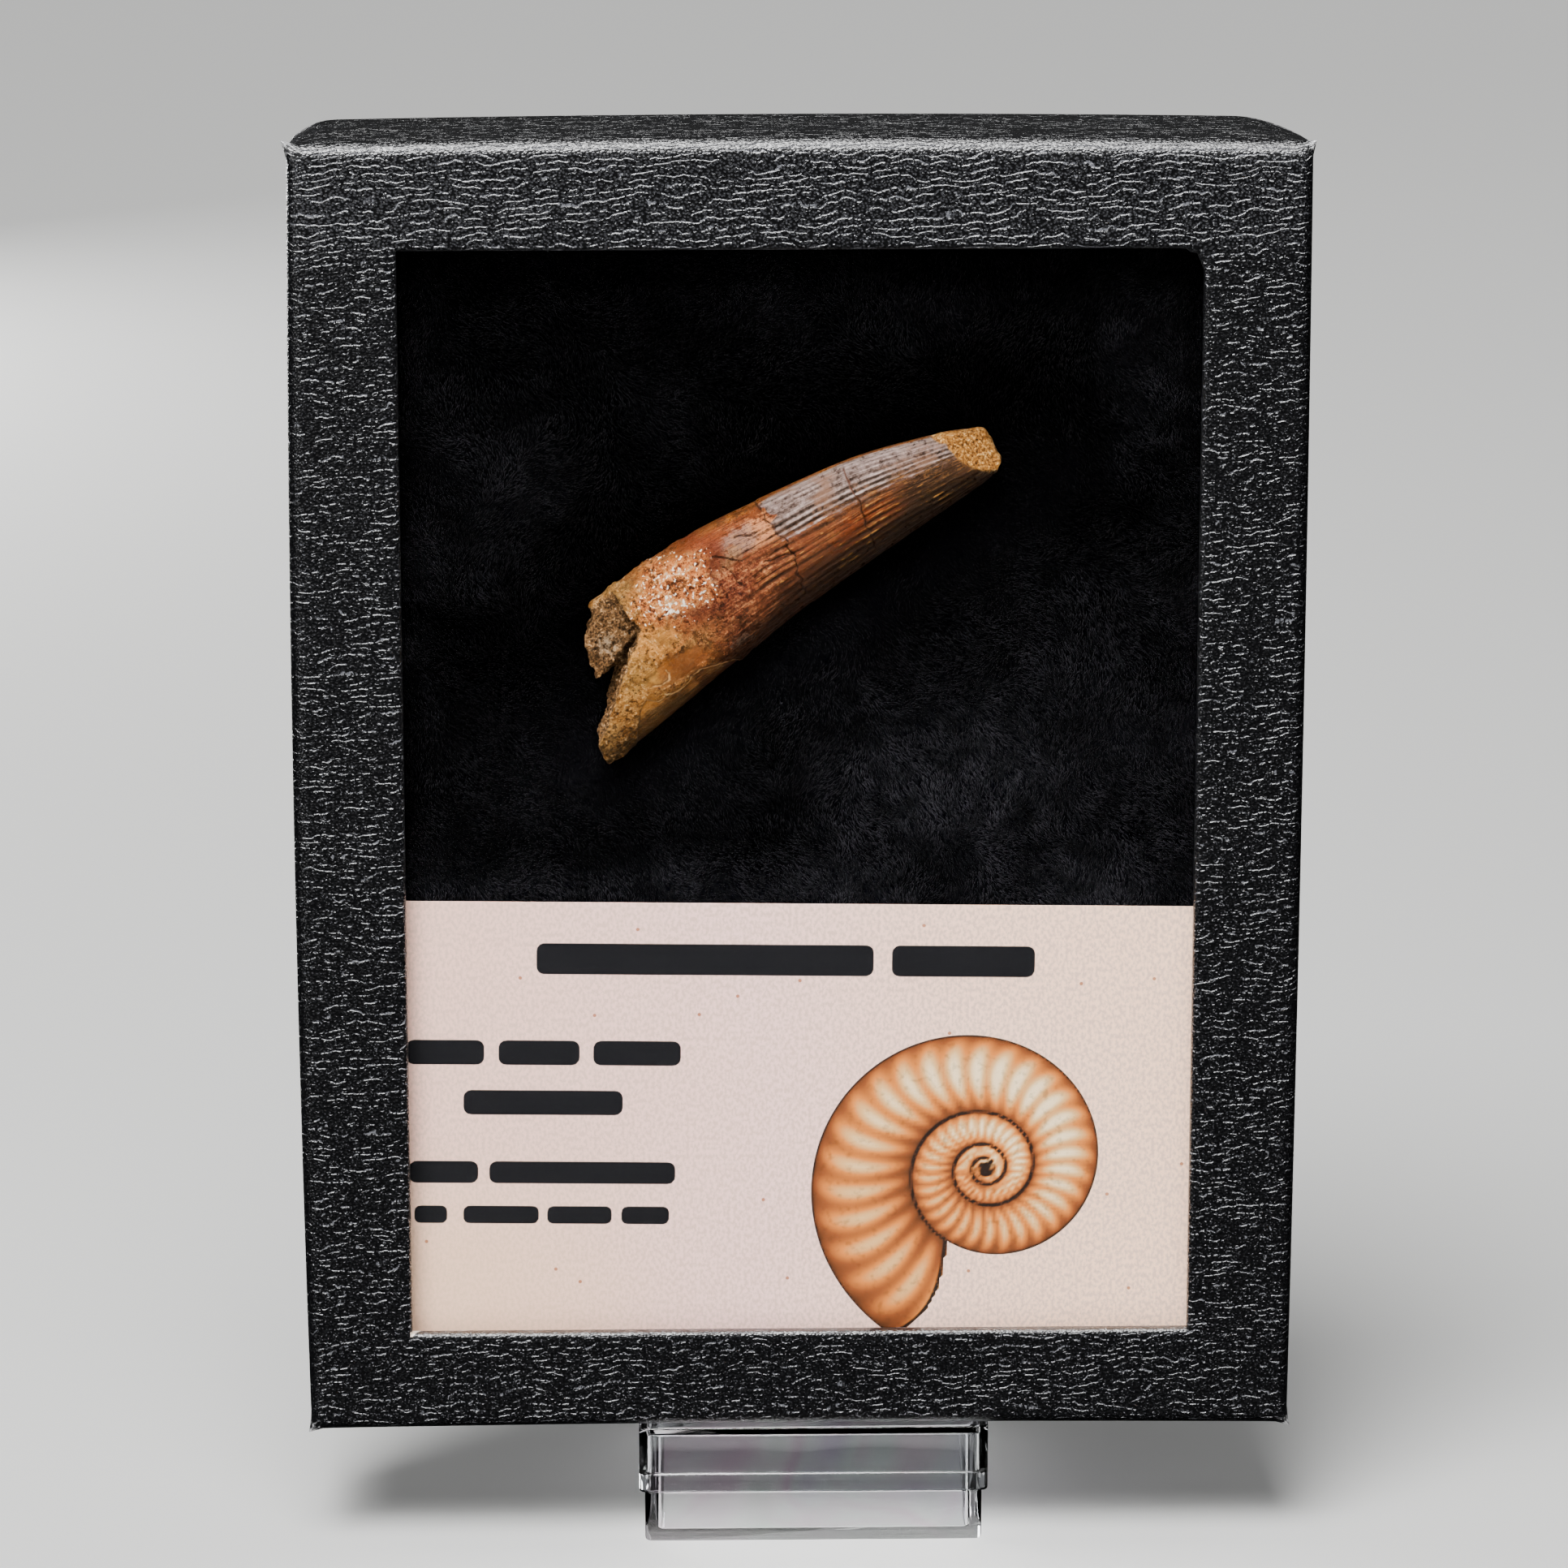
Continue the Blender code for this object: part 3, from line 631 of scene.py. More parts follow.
    # Silver-grey whole enamel, down to a brown rim along the upper side; its grey is painted lighter towards
    # the upper side as painted light from above, and paler on the ridges as painted highlights
    rim_place = jittered(girth, (fine, 1.4), (middle, 1.6))
    rim_place = add(LESS, rim_place, add(RANGE, along, 43.0, 36.0, 0, 2.2))
    grey_side = add(RANGE, jittered(rise, (lines, 0.8), (middle, 0.5)), 0.2, 0.42)
    grey_end = add(RANGE, add(LESS, along, add(TIMES, middle, 3.0)), 36.5, 38.5)
    grey_end = add(TIMES, grey_end, add(RANGE, rim_place, 0.9, 1.4))
    grey = add(TIMES, add(TIMES, grey_side, grey_end), add(RANGE, chip, -0.15, 0.15))
    # Painted light: the grey is lighter towards the upper side and on the ridges
    silver = add(TIMES_PLUS, ridge, 0.42, add(TIMES_PLUS, rise, 0.28, 0.28))
    silver = add(
        "ValToRGB", jittered(silver, (lines, 0.7), (fine, 0.5), (middle, 0.8)),
        stops=((0.2, "#1C130E"), (0.88, "#BEAAA4"), (0.4, "#4A3B34"), (0.6, "#806E68")),
    )
    silver = add(BLEND, add(RANGE, jittered(wide, (middle, 0.5)), 0.5, 0.68, 0, 0.7), silver, "#70503C")
    colour = laid(silver, grey)
    rim_tone = add(BLEND, add(RANGE, jittered(middle, (fine, 0.8)), 0.42, 0.58), "#86501E", "#3C1E0C")
    rim = add(RANGE, rim_place, 1.5, 0.9), add(RANGE, rise, 0.2, 0.6), add(RANGE, along, 26.0, 32.0)
    colour = laid(rim_tone, *rim, 0.8)
    # Cream flecks in the maroon zone
    fleck_away = jittered(away_from(21.4, 10.6, (0.135, 0.2)), (wide, 1.8), (middle, 1.2))
    fleck_zone = add(RANGE, fleck_away, 1.3, 0.3)
    speckle = jittered(add(TIMES_PLUS, fleck_zone, 0.04, middle), (sand, 0.7), (fine, 0.5), (wide, 0.3))
    fleck_tone = add(
        "ValToRGB", speckle,
        stops=((0.34, "#54200C"), (0.8, "#FFF8EA"), (0.43, "#A4522A"), (0.53, "#DC8240"), (0.63, "#FFAC66"),
               (0.7, "#FFDCA8")),
    )
    colour = laid(fleck_tone, add(RANGE, fleck_zone, 0.0, 0.8, 0, 0.85))
    mottling = add(RANGE, jittered(fine, (sand, 0.6)), 0.53, 0.65, 0, 0.5)
    colour = laid("#34140A", mottling, add(RANGE, along, 14.0, 20.0), add(RANGE, along, 45.0, 38.0))
    # Gritty root, with dark pits between pale grains
    grain_tone = add(
        "ValToRGB", jittered(sand, (fine, 0.7), (middle, 0.4)),
        stops=((0.34, "#261407"), (0.7, "#FFD294"), (0.45, "#7A4A1C"), (0.55, "#AC7430")),
    )
    root = add(RANGE, jittered(along, (wide, 16.0), (middle, 6.0)), 22.0, 13.0)
    rough_patches = add(TIMES, add(RANGE, jittered(wide, (middle, 0.8)), 0.38, 0.58), grit)
    colour = laid(grain_tone, root, rough_patches, 0.65)
    colour = laid("#180A04", add(RANGE, jittered(sand, (fine, 0.5), (wide, 0.8)), 0.44, 0.34, 0, 0.7), grit)
    # Broken faces: sandy at the tip, grey ochre at the root
    tip_tone = add(
        "ValToRGB", jittered(fine, (sand, 0.5)),
        stops=((0.34, "#2E1806"), (0.7, "#FFD898"), (0.44, "#84501C"), (0.55, "#BC8038")),
    )
    break_tone = add(
        "ValToRGB", jittered(fine, (sand, 0.8), (middle, 0.5)),
        stops=((0.3, "#140C06"), (0.78, "#F0CCA0"), (0.45, "#5C4126"), (0.6, "#9A6E42")),
    )
    # Pale crystals low on the root's broken face
    crystals = add(
        TIMES, add(RANGE, jittered(away_from(7.6, 8.4), (middle, 7.0)), 2.4, 1.2),
        add(RANGE, jittered(sand, (middle, 0.8)), 0.46, 0.56, 0, 0.7),
    )
    break_tone = add(BLEND, crystals, break_tone, "#B8A082")
    colour = laid(add(BLEND, add(RANGE, along, 30.0, 50.0), break_tone, tip_tone), broken)
    # Cracks, dark, but pale along the crust's edge on the root, short of 24 mm along, as a painted highlight
    # on its lip
    hairline = add(RANGE, jittered(crack, (fine, 0.3)), 0.22, 0.08)
    hairline = add(TIMES, hairline, add(RANGE, middle, 0.34, 0.48, 0, 0.85))
    crack_tone_and_highlight = add(BLEND, add(RANGE, along, 24.0, 23.0), add(BLEND, grey, "#241008", "#55301E"), "#D8A468")
    colour = laid(crack_tone_and_highlight, hairline)
    colour = add("HueSaturation", Saturation=1.0, Value=0.86, Color=colour)
    # Bright cream grains among the flecks, painted near white as glints, after the colour's value is lowered
    grains = add(TIMES_PLUS, fleck_zone, 0.12, add("TexNoise", mm, 1.6, 2.0, 0.5))
    grains = add(RANGE, jittered(grains, (fine, 0.35), (wide, 0.4)), 0.68, 0.74)
    colour = laid("#FFF2DC", grains, add(RANGE, fleck_zone, 0.0, 0.2, 0, 0.95), add(LESS, 1.0, broken))

    rough = jittered(add("MapRange", grit, 0, 1, 0.3, 0.52), (middle, 0.3))
    grain = add(TIMES, lines, add(TIMES, crown, 0.9))
    grain = add(TIMES_PLUS, jittered(fine, (sand, 1.2)), add(TIMES_PLUS, grit, 2.4, 0.2), grain)
    grain = add(TIMES_PLUS, hairline, -0.6, grain)
    feed(shader, (
        ("Base Color", colour), ("Roughness", add(TIMES_PLUS, broken, 0.12, rough)),
        ("Normal", add("Bump", Height=grain, Strength=1.0, Distance=0.00028)),
    ))
    return made


def printed_card():
    """Satin photo card: warm white with a pinkish middle, dark ink bars and a tan and brown shell."""
    made, shader, add = new_material("printed satin card", Roughness=0.62, Specular_IOR_Level=0.1)
    place = add("TexCoord", take="Object")
    x, _, z = add("SeparateXYZ", place, take="all")
    ink, shell, seam, tone = (
        add("Attribute", attribute_name=name, take="Fac") for name in ("ink", "shell", "seam", "tone")
    )
    drift = add(TIMES_PLUS, add("TexNoise", place, 18.0, 2.0), 0.03, x)
    colour = add(
        "ValToRGB", add(RANGE, drift, -0.055, 0.075),
        stops=((0.0, "#E6BBAA"), (1.0, "#F8CFB0"), (0.45, "#ECC3BC")),
    )
    # The paper's mottle, in short upright streaks
    mottle = add("TexNoise", add("Mapping", place, Scale=(1900, 1, 1300)), 1.0, 2.0)
    colour = add(BLEND, add(RANGE, mottle, 0.38, 0.64, 0, 0.8), colour, "#CDA899")
    # Yellower towards its lower left corner
    foot = add(TIMES, add(RANGE, z, 0.07, 0.044, 0, 0.5), add(RANGE, drift, 0.0, -0.04))
    colour = add(BLEND, foot, colour, "#E2BC94")
    # A few tan specks
    speck = add("TexVoronoi 2D", add("CombineXYZ", x, z), 58.0)
    colour = add(BLEND, add(RANGE, speck, 0.019, 0.013, 0, 0.85), colour, "#96542E")
    drawing = add(
        "ValToRGB", tone,
        stops=((0.0, "#2E1D12"), (1.0, "#E6CFA6"), (0.25, "#7E4320"), (0.5, "#C2712C"), (0.75, "#CDA068")),
    )
    washed = add("TexNoise", place, 900.0, 4.0)
    drawing = add(BLEND, add(RANGE, washed, 0.5, 0.75, 0, 0.4), drawing, "#4A2C18")
    drawing = add(BLEND, add(RANGE, seam, 0.45, 0.15), drawing, "#1E1410")
    colour = add(BLEND, add(RANGE, shell, -0.05, 0.1), colour, drawing)
    colour = add(BLEND, add(RANGE, ink, 0.06, -0.06), colour, "#0E0E11")
    surface = add("TexNoise", place, 3000.0, 2.0)
    bump = add("Bump", Height=surface, Strength=0.35, Distance=0.00002)
    feed(shader, (("Base Color", colour), ("Normal", bump)))
    return made


# The case


def share(value):
    """The value kept between 0 and 1."""
    return min(max(value, 0), 1)


def slump(x, depth, height):
    """How far the upper back corners of the lid and the tray have sunk."""
    reach, drop = (10.5, 3.0) if x > 0 else (6.0, 2.6)
    near = share((abs(x) - CASE_WIDTH / 2 + reach) / reach)
    top = share((height - CASE_HEIGHT + BORDER) / BORDER)
    return drop * near**1.9 * min(max(depth / LID_DEPTH, 0), 1.05) * top


def worn(p):
    """Bows of the lid's sides, its slumped back corners and the little horns of its folded front corners."""
    x, depth, height = p
    half = CASE_WIDTH / 2
    up, over = height / CASE_HEIGHT, x / half
    side = share((abs(x) - (half - BORDER)) / BORDER)
    x += (BOW_RIGHT if x > 0 else -BOW_LEFT) * (1 - (2 * up - 1) ** 2) * side
    top = share((height - CASE_HEIGHT + BORDER) / BORDER)
    foot = share((BORDER - height) / BORDER)
    height += (BOW_TOP * top + FOOT_ARCH * foot) * (1 - over**2)
    height -= slump(x, depth, height)
    # The top front edge is rounder than the others, most at the right
    round_over = 2.5 + 0.4 * over
    in_depth, in_height = round_over - depth, height - CASE_HEIGHT - BOW_TOP * (1 - over**2) + round_over
    far = math.hypot(in_depth, in_height)
    if in_depth > 0 and in_height > 0 and far > round_over:
        depth = round_over - in_depth * round_over / far
        height += in_height * (round_over / far - 1)
    for corner_x in (-half, half):
        for corner_z in (0, CASE_HEIGHT):
            away = math.hypot(abs(x - corner_x) - 0.4, abs(height - corner_z) - 0.4)
            pull = 0.7 * math.exp(-((away / 0.8) ** 2)) * share(2.2 - depth)
            if corner_x < 0 < corner_z:
                pull *= 1.6
            x += pull * (1 if corner_x > 0 else -1)
            height += pull * (1 if corner_z > 0 else -1)
    # The paper is bunched in the window's upper right corner
    away = math.hypot(x - half + BORDER + 0.4, height - CASE_HEIGHT + BORDER + 0.4)
    bunch = 1.3 * math.exp(-((away / 1.5) ** 2))
    x -= bunch
    height -= bunch * 0.7
    return x, depth, height


def opened_box(width, height, front, back, open_face, board):
    """A box of board in the case, with one face open, as a closed shell."""
    shape = bmesh.new()
    bmesh.ops.create_cube(shape, size=1)
    middle = Matrix.Translation((0, (front + back) / 2, CASE_HEIGHT / 2))
    size = Matrix.Diagonal((width, back - front, height, 1))
    bmesh.ops.transform(shape, matrix=middle @ size, verts=shape.verts[:])
    shape.normal_update()
    opened = [f for f in shape.faces if f.normal.y * open_face > 0.5]
    bmesh.ops.delete(shape, geom=opened, context="FACES_ONLY")
    if board == "window":
        face = [f for f in shape.faces if f.normal.y < -0.5]
        bmesh.ops.inset_region(shape, faces=face, thickness=BORDER, use_even_offset=True)
        bmesh.ops.delete(shape, geom=face, context="FACES_ONLY")
    walls = ("SOLIDIFY", {"thickness": BOARD, "offset": -1, "use_even_offset": True})
    solid = evaluated_mesh(mesh_of("shell", shape), walls)
    shape = bmesh.new()
    shape.from_mesh(solid)
    return shape


def build_lid():
    """Lid of board wrapped in grained paper, its edges rounded, with the flat paper as its UV map."""
    shape = opened_box(CASE_WIDTH, CASE_HEIGHT, 0, LID_DEPTH, 1, "window")
    half = CASE_WIDTH / 2 - 0.01

    def at_end(v):
        return v.co.z < 0.01 or v.co.z > CASE_HEIGHT - 0.01

    def sharp_where(test):
        return [e for e in sharp_edges(shape) if all(test(v) for v in e.verts)]

    rim = sharp_where(lambda v: abs(v.co.y) < 0.01 and (abs(v.co.x) > half or at_end(v)))
    window = sharp_where(lambda v: abs(v.co.y) < 0.01 and not (abs(v.co.x) > half or at_end(v)))
    round_edges(shape, rim, 1.9, 7)
    round_edges(shape, window, 0.75, 5)
    round_edges(shape, sharp_where(lambda v: v.co.y > LID_DEPTH - 0.01), 0.5, 3)
    round_edges(shape, sharp_where(lambda v: abs(v.co.x) > half and at_end(v)), 0.4, 2)
    subdivide_long(shape, 60, 95)
    subdivide_long(shape, 8, 9)
    shape.normal_update()
    paper = shape.loops.layers.uv.new("paper")
    for face in shape.faces:
        n = face.normal
        for loop in face.loops:
            x, y, z = loop.vert.co
            if abs(n.x) > abs(n.z):
                loop[paper].uv = ((x + math.copysign(y, n.x)) * MM, z * MM)
            else:
                loop[paper].uv = (x * MM, (z + math.copysign(y, n.z)) * MM)
    flat, wear = [], []
    for v in shape.verts:
        # The painted glints of the grain fade out within about 1.5 mm of the front's outer edges and on the
        # top, where the grain is pressed flat
        x, depth, height = v.co
        from_side, from_top = CASE_WIDTH / 2 - abs(x), CASE_HEIGHT - height
        in_window = abs(x) < half - BORDER + 0.3 and min(height + 0.3, from_top + 0.3) > BORDER
        if depth > 2 or (depth > 0.4 and in_window):
            flat.append(abs(x) - half + 2)
        else:
            flat.append(min(from_side, height, 2 * from_top))
        away = math.hypot(from_side, min(height, from_top), depth * 0.5)
        # The slumped back corners are torn along their upper edge
        sunk = slump(x, LID_DEPTH, height)
        torn = smooth(LID_DEPTH - 2 - 1.6 * sunk, LID_DEPTH - 1 - sunk, depth) * smooth(0.02, 0.2, sunk)
        torn *= smooth(CASE_HEIGHT - 2.5, CASE_HEIGHT - 1, height)
        wear.append(math.exp(-((away / 1.6) ** 2)) + 0.62 * torn)
        v.co = worn(v.co)
    mesh = mesh_of("lid", shape)
    store(mesh, wear=wear, edge=0.25 + 0.75 * smooth(0.6, 1.8, np.array(flat)))
    finish_piece("grained_lid", mesh, CASE_PLACE, grained_paper(), "lid_frame")


def build_tray():
    """Tray of board in matte paper, a little proud of the lid's walls at the back."""
    shape = opened_box(TRAY_WIDTH, TRAY_HEIGHT, TRAY_FRONT, CASE_DEPTH, -1, "plain")
    round_edges(shape, sharp_edges(shape), 0.5, 3)
    subdivide_long(shape, 60, 31)
    subdivide_long(shape, 8, 5)
    for v in shape.verts:
        v.co.z -= slump(*v.co)
    finish_piece("paper_tray", shape, CASE_PLACE, tray_paper(), "base_tray")


def build_glass():
    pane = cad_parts["glass_pane"]
    pane.material_slots[0].material = window_glass()
    # Lamps light the inside of the case through the pane
    pane.visible_shadow = False


# Cloth and filling


def cloth_depth(x, height):
    """Depth of the plush: it sinks round the tooth, lies in soft folds and rests on the card."""
    along, across = tooth_coordinates(x, height)
    middle, depth, half_width, half_thick = tooth_section(along)
    past = np.maximum(np.maximum(-3.0 - along, along - TIP_END), 0)
    offset = np.hypot(across - middle, past) / np.maximum(half_width, 9.0)
    sink = 1 / (1 + (offset / 1.25) ** 4)
    folds = 0.5 * np.sin(height / 11 + 2 * np.sin(x / 24))
    for line, width, rise in FOLDS:
        folds = folds - rise * np.exp(-((distance_to_line(x, height, line) / width) ** 2)) * (1 - sink) ** 2
    rest = 6.0 + np.clip(folds, -0.9, 1.6)
    deepest = depth + half_thick + 1.1
    over_card = np.clip((height - 84.4) / 8, 0, 1)
    return (1 - over_card) * 5.2 + over_card * (rest + (deepest - rest) * sink)


# Ridges and creases of the cloth as points, width and rise in millimetres
FOLDS = (
    (((-66, 131), (-54, 128.5), (-46, 125), (-35, 120.5)), 2.6, -1.4),
    (((-66, 137), (-52, 133.5), (-40, 128)), 3.5, 0.6),
    (((24, 128), (38, 143), (52, 158), (66, 172)), 5.0, 0.7),
    (((-38, 97), (-22, 103), (-8, 112), (4, 119)), 4.5, 0.6),
    (((-66, 98), (-40, 92), (-10, 94)), 4.0, -0.5),
    (((20, 96), (40, 104), (66, 110)), 5.0, 0.5),
)


def cloth_grid(cell):
    shape = bmesh.new()
    columns, rows = round(FILL_WIDTH / cell), round(FILL_HEIGHT / cell)
    bmesh.ops.create_grid(shape, x_segments=columns, y_segments=rows, size=0.5)
    places = np.array([v.co for v in shape.verts])
    x, height = places[:, 0] * FILL_WIDTH, CASE_HEIGHT / 2 + places[:, 1] * FILL_HEIGHT
    for v, *p in zip(shape.verts, x, cloth_depth(x, height), height):
        v.co = p
    return shape


def close_back(shape, depth):
    """Gives an open sheet straight walls down to a flat back."""
    walls = bmesh.ops.extrude_edge_only(shape, edges=open_edges(shape))
    for v in verts_in(walls["geom"]):
        v.co.y = depth
    bmesh.ops.holes_fill(shape, edges=open_edges(shape), sides=0)
    bmesh.ops.recalc_face_normals(shape, faces=shape.faces[:])


def build_plush():
    shape = cloth_grid(1.3)
    back = bmesh.ops.duplicate(shape, geom=shape.verts[:] + shape.edges[:] + shape.faces[:])["geom"]
    for v in verts_in(back):
        v.co.y += CLOTH_THICKNESS
    bmesh.ops.bridge_loops(shape, edges=open_edges(shape))
    bmesh.ops.recalc_face_normals(shape, faces=shape.faces[:])
    cloth = finish_piece("plush_lining", shape, CASE_PLACE, plush_cloth(), "velvet_lining", sharp=0)
    pile = [build_pile("plush_pile_left", -60.5, 0.0), build_pile("plush_pile_right", 0.0, 61.0)]


def build_pile(name, low, high, count=49000):
    """Closed needle-shaped fibres that lean together in soft swirls, where the cloth shows in the window."""
    x = rng.uniform(low, high, count)
    height = rng.uniform(83.0, 187.5, count)
    along, across = tooth_coordinates(x, height)
    middle, _, half_width, _ = tooth_section(along)
    hidden = (along > 1) & (along < TIP_END - 1) & (np.abs(across - middle) < half_width - 0.8)
    x, height = x[~hidden], height[~hidden]
    depth = cloth_depth(x, height)
    places = np.stack([x, depth, height], 1)
    swirl = lumps(places, 26.0, 2, 1.0) * 2.6 + lumps(places, 5.0, 2, 2.0) * 1.2
    swirl = swirl + rng.normal(0, 0.35, len(x)) - 0.9
    lean = 0.95 + 0.25 * lumps(places, 9.0, 2, 3.0) + rng.normal(0, 0.12, len(x))
    reach = rng.uniform(0.9, 1.7, len(x))
    aim = np.stack([np.sin(lean) * np.cos(swirl), -np.cos(lean), np.sin(lean) * np.sin(swirl)], 1)
    tip = places + aim * reach[:, None]
    tip[:, 1] = np.maximum(tip[:, 1], GLASS_BACK + 0.25)
    side = np.stack([-np.sin(swirl), np.zeros(len(x)), np.cos(swirl)], 1)
    other = np.cross(aim, side)
    root = places + np.array([0, 0.15, 0])
    ring = [root + PILE_WIDTH * (math.cos(a) * side + math.sin(a) * other) for a in (0, 2.094, 4.189)]
    points = np.stack([*ring, tip], 1).reshape(-1, 3)
    first = np.arange(len(x))[:, None] * 4
    faces = np.concatenate([first + np.array(f) for f in ((0, 1, 3), (1, 2, 3), (2, 0, 3), (2, 1, 0))])
    mesh = bpy.data.meshes.new(name)
    mesh.from_pydata(points.tolist(), [], faces.tolist())
    shape = bmesh.new()
    shape.from_mesh(mesh)
    bmesh.ops.recalc_face_normals(shape, faces=shape.faces[:])
    return finish_piece(name, shape, CASE_PLACE, plush_fibre(), None, sharp=0)


def build_wadding():
    shape = cloth_grid(2.6)
    for v in shape.verts:
        v.co.y += 1.2
    close_back(shape, FILL_BACK)
    round_edges(shape, sharp_edges(shape, 60), 0.9, 3)
    pad = finish_piece("wadding_pad", shape, CASE_PLACE, white_wadding(), "fibre_wadding")


# The tooth


def ragged_prism(name, outline, near, far, jitter):
    """A broken outline, along and across, as a solid between two depths, its line roughened."""
    points = []
    for (a0, w0), (a1, w1) in zip(outline, outline[1:] + outline[:1]):
        steps = max(int(math.hypot(a1 - a0, w1 - w0) / 1.1), 1)
        for k in range(steps):
            a, w = a0 + (a1 - a0) * k / steps, w0 + (w1 - w0) * k / steps
            rough = jitter if k else 0
            shift = noise.noise_vector(Vector((a * 0.9, w * 0.9, near)))
            points.append((a + shift.x * rough, near, w + shift.y * rough))
    shape = bmesh.new()
    face = shape.faces.new([shape.verts.new(p) for p in points])
    grown = bmesh.ops.extrude_face_region(shape, geom=[face], use_keep_orig=True)
    for v in verts_in(grown["geom"]):
        v.co.y = far
    bmesh.ops.recalc_face_normals(shape, faces=shape.faces[:])
    return linked(name, settled_mesh(name, shape))


def tooth_blank():
    """The whole flattened cone with its tip broken off by flat breaks, in its own axes."""
    shape = bmesh.new()
    upright = Matrix.Rotation(math.pi / 2, 4, "Y")
    bmesh.ops.create_circle(shape, cap_ends=True, radius=1, segments=120, matrix=upright)
    first, last, step = TOOTH_STATIONS[0][0], TOOTH_STATIONS[-1][0], 1.0
    bmesh.ops.translate(shape, vec=(first, 0, 0), verts=shape.verts[:])
    cap = shape.faces[:]
    for k in range(round((last - first) / step)):
        grown = bmesh.ops.extrude_face_region(shape, geom=cap, use_keep_orig=(k == 0))
        if k:
            bmesh.ops.delete(shape, geom=cap, context="FACES_ONLY")
        cap = [f for f in grown["geom"] if isinstance(f, bmesh.types.BMFace)]
        bmesh.ops.translate(shape, vec=(step, 0, 0), verts=verts_in(grown["geom"]))
    for v in shape.verts:
        middle, depth, half_width, half_thick = tooth_section(v.co.x)
        c, s = v.co.z, -v.co.y
        reach = (abs(c) ** TOOTH_ROUNDNESS + abs(s) ** TOOTH_ROUNDNESS) ** (-1 / TOOTH_ROUNDNESS)
        v.co = (v.co.x, depth - s * reach * half_thick, middle + c * reach * half_width)
    middle = tooth_section(TIP_END)[0]
    breaks = (
        ((TIP_END, 0, 0), (1, 0, -0.05)),
        ((70.6, TOOTH_FRONT + 2.6, middle), (0.62, -0.78, 0.25)),
        ((70.3, 0, 6.6), (0.5, 0, 0.86)),
        ((70.4, 0, -1.6), (0.25, 0, -0.97)),
    )
    for point, normal in breaks:
        bmesh.ops.recalc_face_normals(shape, faces=shape.faces[:])
        split = bmesh.ops.bisect_plane(
            shape, geom=shape.verts[:] + shape.edges[:] + shape.faces[:], dist=0.001,
            plane_co=point, plane_no=normal, clear_outer=True,
        )
        rim = [e for e in split["geom_cut"] if isinstance(e, bmesh.types.BMEdge) and e.is_boundary]
        bmesh.ops.holes_fill(shape, edges=rim, sides=0)
    bmesh.ops.recalc_face_normals(shape, faces=shape.faces[:])
    return settled_mesh("tooth blank", shape)


